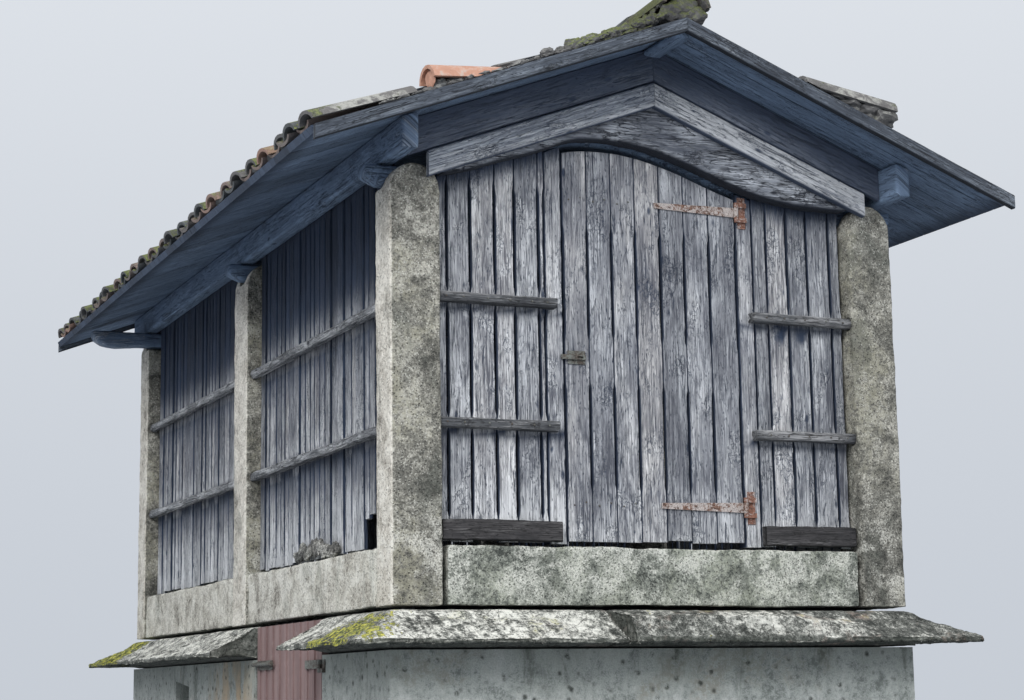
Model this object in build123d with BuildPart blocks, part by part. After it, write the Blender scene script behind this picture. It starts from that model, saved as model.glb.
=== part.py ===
from build123d import *
import math
import os

# Raised granary: a boarded chamber between six granite pillars, standing on a rendered store.
# Millimetres, Z up, front towards -Y, origin on the ground under the middle of the roof.

# Main sizes, over the outer faces of the pillars
house_width = 2240
house_length = 4080
store_height = 1950
wall_thickness = 250
slab_thickness = 150

# Pillars
pillar_width = 220
corner_pillar_depth = 190
mid_pillar_depth = 232
pillar_crown = 1683
pillar_edge_bevel = 11

# Ring of projecting slabs under the chamber
slab_overhang = 220
slab_lip = 45
slab_setback = 12
slab_end_gap = 12
slab_full_reach = 150
slab_full_drop = 10
slab_worn_drop = 62
slab_full_length = 700
front_slab_joint = 880

# Doorway of the store, measured from the front along the left side
store_jamb_front = 790
store_jamb_rear = 1713
store_window_start = 2880
store_window_width = 260
store_window_height = 480
store_window_head = 225
store_window_slant = 30

# Sills and chamber floor
sill_height = 245
sill_depth = 150
sill_setback = 5
floor_thickness = 60

# Boarded panels, their rails and the boards at their feet
board_recess = 72
board_thickness = 25
rail_height = 45
rail_depth = 46
rail_notch = 22
side_rail_tops = (700, 1173)
front_rail_tops = (715, 1194)
kick_height = 92
kick_depth = 38

# Doorway of the chamber, measured from the left pillar's outer face
doorway_start = 745
doorway_width = 783
door_post_width = 72
door_post_depth = 60
door_gap = 5
door_head_gap = 25
post_head_gap = 1
batten_height = 90
batten_depth = 28
rail_overlap = 32

# Lower edge of the crooked lintel: share of the clear width between the pillars, from the left,
# and rise over its right foot, which lies lintel_foot_depth under the crown of the pillars
lintel_foot_depth = 47
lintel_edge = (
    (0, 2),
    (0.061, 26),
    (0.13, 70),
    (0.234, 132),
    (0.301, 180),
    (0.389, 196),
    (0.475, 184),
    (0.574, 140),
    (0.675, 78),
    (0.777, 26),
    (0.872, 4),
    (1, 0),
)
lintel_board_lap = 42
curved_tie_height = 118

# Roof
roof_pitch = 21
eave_overhang = 390
verge_overhang = 320
deck_thickness = 32
barge_drop = 28
barge_thickness = 26
tile_eave_reach = 36
tile_verge_reach = 14
ridge_tile_radius = 112
ridge_tile_rise = 34

# Clay tiles: rows of covers down each slope over a bed of channels, measured upright.
# One stretch of the first row is lost at the front of the left slope.
tile_layer = 75
tile_bed = 30
cover_rows = 26
cover_half_width = 84
cover_facets = (-80, -48, -16, 16, 48, 80)
lost_tiles_start = 220
lost_tiles_end = 720
lost_tiles_bed = 12

# Timbers that carry the roof
plate_width = 72
plate_height = 122
plate_reach = 150
tie_width = 92
tie_seat_depth = 83
tie_rear_end = ((0, 0), (110, -7), (200, -9), (262, 8), (300, 52))
tie_short_end = ((0, 0), (66, 30))
ridge_beam_width = 90
ridge_beam_height = 110
ridge_tongue_height = 44

# Gable boards, two to each slope, mitred in the middle
gable_height = 250
gable_board_width = 104
gable_board_thickness = 30
gable_upper_thickness = 22
gable_groove = 3
mitre_gap = 1
gable_board_stop = 150

# Strap hinges of the chamber door
strap_length = 372
strap_root_height = 40
strap_tip_height = 22
strap_thickness = 6
lower_strap_level = 402
knuckle_radius = 9
knuckle_height = 40
knuckle_gap = 1
pin_radius = 4
pin_clearance = 0.05
pin_stand_off = 12
hinge_plate_width = 34
hinge_plate_height = 130
hinge_plate_thickness = 4
hinge_plate_head_gap = 4

# Hasp of the chamber door
hasp_level = 970
hasp_plate_size = (74, 52, 4)
hasp_bar_size = (104, 18, 9)
hasp_slot_size = (26, 8)

# Door of the store
store_leaf_thickness = 30
store_leaf_foot = 20
store_leaf_head_gap = 10
store_gap = 7
rib_pitch = 96
rib_width = 34
rib_depth = 6
store_strap_length = 205
store_strap_height = 34
store_strap_rise = 360
store_strap_drop = 35
store_bolt_drop = 22
store_bolt_length = 285
store_bolt_radius = 8
store_bolt_stand_off = 2

# Derived positions shared by many pieces
left = -house_width / 2
right = house_width / 2
front = -house_length / 2
rear = house_length / 2
slab_top = store_height
wall_top = slab_top - slab_thickness
sill_top = slab_top + sill_height
pitch_rise = math.tan(math.radians(roof_pitch))
roof_half_width = house_width / 2 + eave_overhang
roof_half_length = house_length / 2 + verge_overhang
head_top = slab_top + pillar_crown
tie_seat = head_top - tie_seat_depth
soffit_apex = pillar_crown + plate_height + pitch_rise * house_width / 2
pin_x = left + doorway_start + doorway_width - door_gap / 2
pin_y = front + board_recess - pin_stand_off
store_pin_x = left - knuckle_radius - knuckle_gap
store_pin_y = front + store_jamb_front + door_gap / 2
store_strap_levels = (store_strap_rise, wall_top - store_strap_drop)
store_bolt_level = wall_top - store_bolt_drop

os.makedirs("parts", exist_ok=True)


def block(x, y, z, mode=Mode.ADD):
    """A rectangular block between pairs of limits."""
    centre = (sum(x) / 2, sum(y) / 2, sum(z) / 2)
    with Locations(centre):
        Box(x[1] - x[0], y[1] - y[0], z[1] - z[0], mode=mode)


def prism_along_y(outline, y, mode=Mode.ADD):
    """A prism between two depths; its outline is given as width and height."""
    with BuildSketch(Plane.XZ.offset(-y[0])) as face:
        with BuildLine():
            Polyline(*outline, close=True)
        make_face()
    extrude(face.sketch, amount=y[0] - y[1], mode=mode)


def prism_along_x(outline, x, mode=Mode.ADD):
    """A prism between two widths; its outline is given as depth and height."""
    with BuildSketch(Plane.YZ.offset(x[0])) as face:
        with BuildLine():
            Polyline(*outline, close=True)
        make_face()
    extrude(face.sketch, amount=x[1] - x[0], mode=mode)


def save(piece, label):
    """Name a finished piece and write its file."""
    piece.part.label = label
    export_step(piece.part, "parts/" + label + ".step")


def roof_height(x, apex):
    """Height of a roof surface over the ground at a distance from the ridge."""
    return slab_top + apex - pitch_rise * abs(x)


def mirrored(span):
    """The same pair of limits on the other side of the middle."""
    return (-span[1], -span[0])


# Rendered walls of the store
with BuildPart() as store_wall_front:
    block((left, right), (front, front + wall_thickness), (0, wall_top))
save(store_wall_front, "store_wall_front")

with BuildPart() as store_wall_rear:
    block((left, right), (rear - wall_thickness, rear), (0, wall_top))
save(store_wall_rear, "store_wall_rear")

inner_front = front + wall_thickness
inner_rear = rear - wall_thickness
left_wall = (left, left + wall_thickness)
right_wall = mirrored(left_wall)

with BuildPart() as store_wall_right:
    block(right_wall, (inner_front, inner_rear), (0, wall_top))
save(store_wall_right, "store_wall_right")

jamb_front = front + store_jamb_front
jamb_rear = front + store_jamb_rear

with BuildPart() as store_wall_door_pier:
    block(left_wall, (inner_front, jamb_front), (0, wall_top))
save(store_wall_door_pier, "store_wall_door_pier")

# The left wall behind the doorway has a small slit window with a slanting head
window_front = front + store_window_start
window_rear = window_front + store_window_width
window_head = slab_top - store_window_head
window_foot = window_head - store_window_height

with BuildPart() as store_wall_left:
    block(left_wall, (jamb_rear, inner_rear), (0, wall_top))
    prism_along_x(
        (
            (window_front, window_foot),
            (window_rear, window_foot),
            (window_rear, window_head),
            (window_front, window_head - store_window_slant),
        ),
        left_wall,
        Mode.SUBTRACT,
    )
save(store_wall_left, "store_wall_left")


def weathered_slab(x, y, worn):
    """A slab whose outer upper edges fall away to a thin lip.

    x and y are the limits of its flat bed; worn holds how far it reaches
    past them at the left, right, front and rear.
    """
    outer_x = (x[0] - worn[0], x[1] + worn[1])
    outer_y = (y[0] - worn[2], y[1] + worn[3])
    lip_top = wall_top + slab_lip
    block(outer_x, outer_y, (wall_top, lip_top))
    with BuildSketch(Plane.XY.offset(lip_top)) as lower:
        with Locations((sum(outer_x) / 2, sum(outer_y) / 2)):
            Rectangle(outer_x[1] - outer_x[0], outer_y[1] - outer_y[0])
    with BuildSketch(Plane.XY.offset(slab_top)) as upper:
        with Locations((sum(x) / 2, sum(y) / 2)):
            Rectangle(x[1] - x[0], y[1] - y[0])
    loft([lower.sketch, upper.sketch])


# Slabs over the walls: two along the front, one down each side and one at the rear
slab_reach = slab_overhang - slab_setback
bed_left = (left - slab_setback, left + wall_thickness)
bed_right = mirrored(bed_left)
bed_front = (front - slab_setback, inner_front)
bed_rear = mirrored(bed_front)
joint_x = left + front_slab_joint

with BuildPart() as slab_front_left:
    weathered_slab((bed_left[0], joint_x), bed_front, (slab_reach, 0, slab_reach, 0))
    weathered_slab(bed_left, (inner_front, jamb_front - slab_end_gap), (slab_reach, 0, 0, 0))
save(slab_front_left, "slab_front_left")

# The second front slab keeps its full face near the joint and thins out to the right
full_face = (
    (bed_front[0], slab_top),
    (front - slab_full_reach, slab_top - slab_full_drop),
    (front - slab_overhang, wall_top + slab_lip),
)
worn_face = (
    (bed_front[0], slab_top),
    (front - slab_full_reach, slab_top - slab_worn_drop),
    (front - slab_overhang, wall_top + slab_lip),
)

with BuildPart() as slab_front_right:
    weathered_slab((joint_x, bed_right[1]), bed_front, (0, slab_reach, slab_reach, 0))
    prism_along_x(full_face, (joint_x, joint_x + slab_full_length))
    with BuildSketch(Plane.YZ.offset(joint_x + slab_full_length)) as full_end:
        with BuildLine():
            Polyline(*full_face, close=True)
        make_face()
    with BuildSketch(Plane.YZ.offset(joint_x + slab_full_length + slab_full_length / 2)) as worn_end:
        with BuildLine():
            Polyline(*worn_face, close=True)
        make_face()
    loft([full_end.sketch, worn_end.sketch])
save(slab_front_right, "slab_front_right")

with BuildPart() as slab_left:
    weathered_slab(bed_left, (jamb_rear + slab_end_gap, inner_rear), (slab_reach, 0, 0, 0))
save(slab_left, "slab_left")

with BuildPart() as slab_right:
    weathered_slab(bed_right, (inner_front, inner_rear), (0, slab_reach, 0, 0))
save(slab_right, "slab_right")

with BuildPart() as slab_rear:
    weathered_slab((bed_left[0], bed_right[1]), bed_rear, (slab_reach, slab_reach, 0, slab_reach))
save(slab_rear, "slab_rear")

# Pillars with round heads; rails and tie beams are let into them
left_pillar = (left, left + pillar_width)
right_pillar = mirrored(left_pillar)
front_pillar = (front, front + corner_pillar_depth)
mid_pillar = (-mid_pillar_depth / 2, mid_pillar_depth / 2)
rear_pillar = mirrored(front_pillar)
front_bay = (front_pillar[1], mid_pillar[0])
rear_bay = (mid_pillar[1], rear_pillar[0])

side_rail_levels = [(slab_top + top - rail_height, slab_top + top) for top in side_rail_tops]
front_rail_levels = [(slab_top + top - rail_height, slab_top + top) for top in front_rail_tops]
left_rail = (left + board_recess - rail_depth, left + board_recess)
right_rail = mirrored(left_rail)
front_rail = (front + board_recess - rail_depth, front + board_recess)
rear_rail = mirrored(front_rail)

board_front = (front + board_recess, front + board_recess + board_thickness)
board_rear = mirrored(board_front)
tie_front = (board_front[1], front_pillar[1])
tie_mid = (-tie_width / 2, tie_width / 2)
tie_rear = mirrored(tie_front)


def pillar(x, y):
    """One squared pillar with a round head and softened edges."""
    shoulder = head_top - pillar_width / 2
    with BuildSketch(Plane.XZ.offset(-y[0])) as face:
        with BuildLine():
            Polyline((x[0], shoulder), (x[0], slab_top), (x[1], slab_top), (x[1], shoulder))
            ThreePointArc((x[1], shoulder), (sum(x) / 2, head_top), (x[0], shoulder))
        make_face()
    extrude(face.sketch, amount=y[0] - y[1])


def soften(piece):
    """Bevel the edges round the front and back of the pillars, but not at their feet."""
    round_faces = piece.edges().filter_by(Axis.Y, reverse=True)
    chamfer([edge for edge in round_faces if edge.center().Z > slab_top], length=pillar_edge_bevel)


def notch_for_rails(y_face, inwards):
    """Cut the side rails' notches into the flanks at one depth, on both rows."""
    y = sorted((y_face, y_face + inwards * rail_notch))
    for level in side_rail_levels:
        block(left_rail, y, level, Mode.SUBTRACT)
        block(right_rail, y, level, Mode.SUBTRACT)


def house_tie(y):
    """Cut the seat of a tie beam through both heads."""
    block((left, right), y, (tie_seat, head_top + tie_seat_depth), Mode.SUBTRACT)


with BuildPart() as pillars_front:
    pillar(left_pillar, front_pillar)
    pillar(right_pillar, front_pillar)
    soften(pillars_front)
    notch_for_rails(front_pillar[1], -1)
    for rail_level in front_rail_levels:
        block((left_pillar[1] - rail_notch, left_pillar[1]), front_rail, rail_level, Mode.SUBTRACT)
        block((right_pillar[0], right_pillar[0] + rail_notch), front_rail, rail_level, Mode.SUBTRACT)
    house_tie(tie_front)
save(pillars_front, "pillars_front")

with BuildPart() as pillars_middle:
    pillar(left_pillar, mid_pillar)
    pillar(right_pillar, mid_pillar)
    soften(pillars_middle)
    notch_for_rails(mid_pillar[0], 1)
    notch_for_rails(mid_pillar[1], -1)
    house_tie(tie_mid)
save(pillars_middle, "pillars_middle")

with BuildPart() as pillars_rear:
    pillar(left_pillar, rear_pillar)
    pillar(right_pillar, rear_pillar)
    soften(pillars_rear)
    notch_for_rails(rear_pillar[0], 1)
    for rail_level in front_rail_levels:
        block((left_pillar[1] - rail_notch, left_pillar[1]), rear_rail, rail_level, Mode.SUBTRACT)
        block((right_pillar[0], right_pillar[0] + rail_notch), rear_rail, rail_level, Mode.SUBTRACT)
    house_tie(tie_rear)
save(pillars_rear, "pillars_rear")

# Granite sills between the pillars, and the floor laid inside them
sill_left = (left + sill_setback, left + sill_setback + sill_depth)
sill_right = mirrored(sill_left)
sill_front_y = (front + sill_setback, front + sill_setback + sill_depth)
sill_rear_y = mirrored(sill_front_y)
between_pillars = (left_pillar[1], right_pillar[0])
sill_z = (slab_top, sill_top)

with BuildPart() as sill_front:
    block(between_pillars, sill_front_y, sill_z)
save(sill_front, "sill_front")

with BuildPart() as sill_rear:
    block(between_pillars, sill_rear_y, sill_z)
save(sill_rear, "sill_rear")

with BuildPart() as sills_left:
    block(sill_left, front_bay, sill_z)
    block(sill_left, rear_bay, sill_z)
save(sills_left, "sills_left")

with BuildPart() as sills_right:
    block(sill_right, front_bay, sill_z)
    block(sill_right, rear_bay, sill_z)
save(sills_right, "sills_right")

floor_z = (slab_top, slab_top + floor_thickness)

with BuildPart() as chamber_floor:
    block((sill_left[1], sill_right[0]), (sill_front_y[1], sill_rear_y[0]), floor_z)
    for row in (left_pillar, right_pillar):
        for line in (front_pillar, mid_pillar, rear_pillar):
            block(row, line, floor_z, Mode.SUBTRACT)
save(chamber_floor, "chamber_floor")


def side_boards(side):
    """Boards of both bays on one side; side is -1 at the left and 1 at the right."""
    outer = house_width / 2 - board_recess
    inner = outer - board_thickness
    outline = (
        (side * outer, sill_top),
        (side * outer, roof_height(outer, soffit_apex)),
        (side * inner, roof_height(inner, soffit_apex)),
        (side * inner, sill_top),
    )
    prism_along_y(outline, front_bay)
    prism_along_y(outline, rear_bay)


with BuildPart() as boards_left:
    side_boards(-1)
save(boards_left, "boards_left")

with BuildPart() as boards_right:
    side_boards(1)
save(boards_right, "boards_right")


def rails_along_side(x):
    """Two rails in each bay, their ends let into the pillars."""
    for level in side_rail_levels:
        for bay in (front_bay, rear_bay):
            block(x, (bay[0] - rail_notch, bay[1] + rail_notch), level)


with BuildPart() as rails_left:
    rails_along_side(left_rail)
save(rails_left, "rails_left")

with BuildPart() as rails_right:
    rails_along_side(right_rail)
save(rails_right, "rails_right")

# The crooked lower edge that the lintel, the tie beam and the boards behind it share
lintel_foot = head_top - lintel_foot_depth
clear_width = between_pillars[1] - between_pillars[0]
lintel_points = [(between_pillars[0] + share * clear_width, lintel_foot + rise) for share, rise in lintel_edge]


def lintel_edge_over(x):
    """Height of the lintel's lower edge over a place, read straight between its points."""
    start, end = next(pair for pair in zip(lintel_points, lintel_points[1:]) if x <= pair[1][0])
    return start[1] + (end[1] - start[1]) * (x - start[0]) / (end[0] - start[0])


def over_lintel_edge(upper, shift, y, mode=Mode.ADD):
    """A prism along Y from the lintel's lower edge, moved by shift, up to the upper outline."""
    lower = [(x, z + shift) for x, z in lintel_points]
    with BuildSketch(Plane.XZ.offset(-y[0])) as face:
        with BuildLine():
            Spline(*lower)
            Polyline(lower[-1], *upper, lower[0])
        make_face()
    extrude(face.sketch, amount=y[0] - y[1], mode=mode)


sky = head_top + pillar_crown
open_sky = ((between_pillars[1], sky), (between_pillars[0], sky))
gable_lower_edge = soffit_apex - gable_height
lintel_top_apex = gable_lower_edge + gable_board_width / 2
lintel_back = (
    (between_pillars[1], roof_height(between_pillars[1], lintel_top_apex)),
    (0, roof_height(0, lintel_top_apex)),
    (between_pillars[0], roof_height(between_pillars[0], lintel_top_apex)),
)

with BuildPart() as lintel_front:
    over_lintel_edge(lintel_back, 0, (front, board_front[0]))
save(lintel_front, "lintel_front")

with BuildPart() as lintel_rear:
    over_lintel_edge(lintel_back, 0, (board_rear[1], rear))
save(lintel_rear, "lintel_rear")


def tie_ends(y, curve):
    """Both ends of a tie beam over a pair of pillars; the curve is their underside past the pillars."""
    face_x = house_width / 2
    with BuildSketch(Plane.XZ.offset(-y[0])) as face:
        for side in (-1, 1):
            under = [(side * (face_x + x), tie_seat + z) for x, z in curve]
            inner_x = side * (face_x - pillar_width)
            with BuildLine():
                Spline(*under)
                Polyline(under[-1], (under[-1][0], head_top), (inner_x, head_top), (inner_x, tie_seat), under[0])
            make_face()
    extrude(face.sketch, amount=y[0] - y[1])


with BuildPart() as tie_beams:
    tie_ends(tie_front, tie_short_end)
    tie_ends(tie_mid, tie_short_end)
    tie_ends(tie_rear, tie_rear_end)
    for depth in (tie_front, tie_rear):
        raised = [(x, z + curved_tie_height) for x, z in reversed(lintel_points)]
        with BuildSketch(Plane.XZ.offset(-depth[0])) as crooked_span:
            with BuildLine():
                Spline(*lintel_points)
                Polyline(lintel_points[-1], *raised, lintel_points[0])
            make_face()
        extrude(crooked_span.sketch, amount=depth[0] - depth[1])
    block(between_pillars, tie_mid, (tie_seat, head_top))
save(tie_beams, "tie_beams")

# Boarded front with its doorway, and the boarded rear
doorway_left = left + doorway_start
doorway_right = doorway_left + doorway_width
post_left = (doorway_left - door_post_width, doorway_left)
post_right = (doorway_right, doorway_right + door_post_width)
post_y = (board_front[0], board_front[0] + door_post_depth)
above_doorway = (sill_top, head_top + pillar_width)

with BuildPart() as boards_front:
    block((between_pillars[0], post_left[0]), board_front, above_doorway)
    block((post_right[1], between_pillars[1]), board_front, above_doorway)
    over_lintel_edge(open_sky, lintel_board_lap, board_front, Mode.SUBTRACT)
save(boards_front, "boards_front")

with BuildPart() as door_posts:
    block(post_left, post_y, above_doorway)
    block(post_right, post_y, above_doorway)
    over_lintel_edge(open_sky, -post_head_gap, post_y, Mode.SUBTRACT)
save(door_posts, "door_posts")

with BuildPart() as boards_rear:
    block(between_pillars, board_rear, above_doorway)
    over_lintel_edge(open_sky, lintel_board_lap, board_rear, Mode.SUBTRACT)
save(boards_rear, "boards_rear")

with BuildPart() as rails_front:
    for rail_level in front_rail_levels:
        block((between_pillars[0] - rail_notch, post_left[0] + rail_overlap), front_rail, rail_level)
        block((post_right[1] - rail_overlap, between_pillars[1] + rail_notch), front_rail, rail_level)
save(rails_front, "rails_front")

with BuildPart() as rails_rear:
    for rail_level in front_rail_levels:
        block((between_pillars[0] - rail_notch, between_pillars[1] + rail_notch), rear_rail, rail_level)
save(rails_rear, "rails_rear")

kick_y = (board_front[0] - kick_depth, board_front[0])
kick_z = (sill_top, sill_top + kick_height)

with BuildPart() as kick_boards:
    block((between_pillars[0], post_left[1] - rail_overlap), kick_y, kick_z)
    block((post_right[1], between_pillars[1]), kick_y, kick_z)
save(kick_boards, "kick_boards")


def under_roof(half, apex, depth):
    """Outline of a layer that follows both slopes, measured upright."""
    low = apex - depth
    return (
        (-half, roof_height(half, low)),
        (0, roof_height(0, low)),
        (half, roof_height(half, low)),
        (half, roof_height(half, apex)),
        (0, roof_height(0, apex)),
        (-half, roof_height(half, apex)),
    )


def ridge_section(depth):
    """Outline of the ridge beam at a depth under the apex of the soffit."""
    half = ridge_beam_width / 2
    foot = roof_height(0, soffit_apex - depth)
    return (
        (-half, foot),
        (half, foot),
        (half, roof_height(half, soffit_apex)),
        (0, roof_height(0, soffit_apex)),
        (-half, roof_height(half, soffit_apex)),
    )


# Ridge beam, cut back to a shallow tongue under each verge, and the wall plates
timber_length = (-roof_half_length + barge_thickness, roof_half_length - barge_thickness)

with BuildPart() as ridge_beam:
    prism_along_y(ridge_section(ridge_beam_height), (front, rear))
    prism_along_y(ridge_section(ridge_tongue_height), timber_length)
save(ridge_beam, "ridge_beam")

plate_outer = house_width / 2
plate_inner = plate_outer - plate_width

with BuildPart() as wall_plates:
    for hand in (-1, 1):
        prism_along_y(
            (
                (hand * plate_outer, head_top),
                (hand * plate_outer, roof_height(plate_outer, soffit_apex)),
                (hand * plate_inner, roof_height(plate_inner, soffit_apex)),
                (hand * plate_inner, head_top),
            ),
            (front - plate_reach, rear + plate_reach),
        )
save(wall_plates, "wall_plates")


def one_slope(side, apex, depth, reach, start=0):
    """Outline of one half of a roof layer, measured upright; side is -1 or 1."""
    low = apex - depth
    return (
        (side * start, roof_height(start, low)),
        (side * reach, roof_height(reach, low)),
        (side * reach, roof_height(reach, apex)),
        (side * start, roof_height(start, apex)),
    )


def gable_boards(y_seat, outwards):
    """Two boards to each slope, mitred in the middle and cut round the ridge beam's tongue."""
    half = house_width / 2 - gable_board_stop
    seam = gable_lower_edge + gable_board_width
    upper_width = soffit_apex - seam - gable_groove
    thick = sorted((y_seat, y_seat + outwards * gable_board_thickness))
    thin = sorted((y_seat, y_seat + outwards * gable_upper_thickness))
    for side in (-1, 1):
        prism_along_y(one_slope(side, seam, gable_board_width, half, mitre_gap), thick)
        prism_along_y(one_slope(side, soffit_apex, upper_width, half, mitre_gap), thin)
    prism_along_y(ridge_section(ridge_tongue_height), thick, Mode.SUBTRACT)


with BuildPart() as gable_boards_front:
    gable_boards(front, -1)
save(gable_boards_front, "gable_boards_front")

with BuildPart() as gable_boards_rear:
    gable_boards(rear, 1)
save(gable_boards_rear, "gable_boards_rear")


# Boarded decks, bargeboards and the layers of clay tiles
deck_apex = soffit_apex + deck_thickness
tile_apex = deck_apex + tile_layer
tile_reach = roof_half_width + tile_eave_reach
tile_length = (-roof_half_length - tile_verge_reach, roof_half_length + tile_verge_reach)

with BuildPart() as roof_deck_left:
    prism_along_y(one_slope(-1, deck_apex, deck_thickness, roof_half_width), timber_length)
save(roof_deck_left, "roof_deck_left")

with BuildPart() as roof_deck_right:
    prism_along_y(one_slope(1, deck_apex, deck_thickness, roof_half_width), timber_length)
save(roof_deck_right, "roof_deck_right")

with BuildPart() as bargeboards:
    barge_width = deck_thickness + barge_drop
    for side in (-1, 1):
        board = one_slope(side, deck_apex, barge_width, roof_half_width, mitre_gap)
        prism_along_y(board, (-roof_half_length, timber_length[0]))
        prism_along_y(board, (timber_length[1], roof_half_length))
save(bargeboards, "bargeboards")

row_pitch = (tile_length[1] - tile_length[0] - 2 * cover_half_width) / (cover_rows - 1)
cover_edge = math.radians(cover_facets[-1])
cover_crown = math.radians(cover_facets[len(cover_facets) // 2])


def tiled_slope(side):
    """One slope of tiles: half-round rows over a flat bed, run from the eave up to the ridge."""
    foot = roof_height(tile_reach, deck_apex)
    outline = [(tile_length[0], foot)]
    for row in range(cover_rows):
        middle = tile_length[0] + cover_half_width + row * row_pitch
        for facet in cover_facets:
            turn = math.radians(facet)
            rise = (math.cos(turn) - math.cos(cover_edge)) / (math.cos(cover_crown) - math.cos(cover_edge))
            reach = cover_half_width * math.sin(turn) / math.sin(cover_edge)
            outline.append((middle + reach, foot + tile_bed + rise * (tile_layer - tile_bed)))
    outline.append((tile_length[1], foot))
    with BuildSketch(Plane.YZ.offset(side * tile_reach)) as eave:
        with BuildLine():
            Polyline(*outline, close=True)
        make_face()
    run = tile_reach / math.cos(math.radians(roof_pitch))
    extrude(eave.sketch, amount=run, dir=(-side, 0, pitch_rise))


with BuildPart() as tiles_left:
    tiled_slope(-1)
    lost_apex = tile_apex + tile_layer
    lost_depth = lost_apex - deck_apex - lost_tiles_bed
    prism_along_y(
        one_slope(-1, lost_apex, lost_depth, lost_tiles_end, lost_tiles_start),
        (tile_length[0] - row_pitch, tile_length[0] + row_pitch),
        Mode.SUBTRACT,
    )
save(tiles_left, "tiles_left")

with BuildPart() as tiles_right:
    tiled_slope(1)
save(tiles_right, "tiles_right")

with BuildPart() as ridge_tiles:
    with BuildSketch(Plane.XZ.offset(-tile_length[0])) as ridge_round:
        with Locations((0, slab_top + deck_apex + ridge_tile_rise)):
            Circle(ridge_tile_radius)
    extrude(ridge_round.sketch, amount=tile_length[0] - tile_length[1])
    prism_along_y(under_roof(tile_reach, tile_apex, tile_apex), tile_length, Mode.SUBTRACT)
save(ridge_tiles, "ridge_tiles")

# Chamber door: upright boards under the crooked head, two battens behind
leaf_x = (doorway_left + door_gap, doorway_right - door_gap)
leaf_z = (sill_top + 2 * door_gap, above_doorway[1])
batten_x = (leaf_x[0] + door_post_depth, leaf_x[1] - door_post_depth)
batten_y = (board_front[1], board_front[1] + batten_depth)
hinge_plate_x = (pin_x + pin_stand_off, pin_x + pin_stand_off + hinge_plate_width)
hinge_plate_head = lintel_edge_over(hinge_plate_x[1]) - hinge_plate_head_gap
strap_middles = (slab_top + lower_strap_level, hinge_plate_head - hinge_plate_height / 2)

with BuildPart() as chamber_door:
    block(leaf_x, board_front, leaf_z)
    over_lintel_edge(open_sky, -door_head_gap, board_front, Mode.SUBTRACT)
    for middle in strap_middles:
        block(batten_x, batten_y, (middle - batten_height / 2, middle + batten_height / 2))
save(chamber_door, "chamber_door")

# Tapered straps whose knuckles turn on pins held by the plates of the right-hand post
strap_y = (board_front[0] - strap_thickness, board_front[0])
bore_radius = pin_radius + pin_clearance
half_knuckle = knuckle_height / 2


def upright_cylinder(x, y, radius, z, mode=Mode.ADD):
    """An upright cylinder between two heights."""
    with Locations((x, y, sum(z) / 2)):
        Cylinder(radius, z[1] - z[0], mode=mode)


with BuildPart() as door_straps:
    for middle in strap_middles:
        prism_along_y(
            (
                (pin_x, middle - strap_root_height / 2),
                (pin_x, middle + strap_root_height / 2),
                (pin_x - strap_length, middle + strap_tip_height / 2),
                (pin_x - strap_length, middle - strap_tip_height / 2),
            ),
            strap_y,
        )
        knuckle_z = (middle - half_knuckle, middle + half_knuckle)
        upright_cylinder(pin_x, pin_y, knuckle_radius, knuckle_z)
        upright_cylinder(pin_x, pin_y, bore_radius, knuckle_z, Mode.SUBTRACT)
save(door_straps, "door_straps")

with BuildPart() as door_hinge_plates:
    for middle in strap_middles:
        plate_z = (middle - hinge_plate_height / 2, middle + hinge_plate_height / 2)
        block(hinge_plate_x, (board_front[0] - hinge_plate_thickness, board_front[0]), plate_z)
        upright_cylinder(pin_x, pin_y, pin_radius, (middle - knuckle_height, middle + knuckle_height))
        for start in (half_knuckle + knuckle_gap, -knuckle_height):
            eye_z = (middle + start, middle + start + half_knuckle - knuckle_gap)
            upright_cylinder(pin_x, pin_y, knuckle_radius, eye_z)
            block((pin_x, hinge_plate_x[1]), (pin_y - pin_radius, board_front[0]), eye_z)
save(door_hinge_plates, "door_hinge_plates")

# Hasp across the edge of the leaf: a plate with a slot and a flat bar
hasp_z = slab_top + hasp_level
hasp_plate_left = leaf_x[0] + 2 * door_gap

with BuildPart() as door_hasp:
    block(
        (hasp_plate_left, hasp_plate_left + hasp_plate_size[0]),
        (board_front[0] - hasp_plate_size[2], board_front[0]),
        (hasp_z - hasp_plate_size[1] / 2, hasp_z + hasp_plate_size[1] / 2),
    )
    hasp_bar_y = (
        board_front[0] - hasp_plate_size[2] - hasp_bar_size[2],
        board_front[0] - hasp_plate_size[2],
    )
    block(
        (hasp_plate_left + hasp_plate_size[0] - hasp_bar_size[0], hasp_plate_left + hasp_plate_size[0]),
        hasp_bar_y,
        (hasp_z - hasp_bar_size[1] / 2, hasp_z + hasp_bar_size[1] / 2),
    )
    slot_left = hasp_plate_left + hasp_plate_size[0] / 2
    block(
        (slot_left, slot_left + hasp_slot_size[0]),
        hasp_bar_y,
        (hasp_z - hasp_slot_size[1] / 2, hasp_z + hasp_slot_size[1] / 2),
        Mode.SUBTRACT,
    )
save(door_hasp, "door_hasp")

# Store door: one ribbed leaf flush with the wall, hung on the jamb nearer the front
store_leaf_y = (jamb_front + store_gap, jamb_rear - store_gap)
store_leaf_z = (store_leaf_foot, slab_top - store_leaf_head_gap)
store_leaf_x = (left + rib_depth, left + store_leaf_thickness)
rib_count = int((store_leaf_y[1] - store_leaf_y[0] - rib_width) // rib_pitch) + 1

with BuildPart() as store_door:
    block(store_leaf_x, store_leaf_y, store_leaf_z)
    for index in range(rib_count):
        rib_start = store_leaf_y[0] + index * rib_pitch
        block((left, left + rib_depth), (rib_start, rib_start + rib_width), store_leaf_z)
save(store_door, "store_door")

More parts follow.
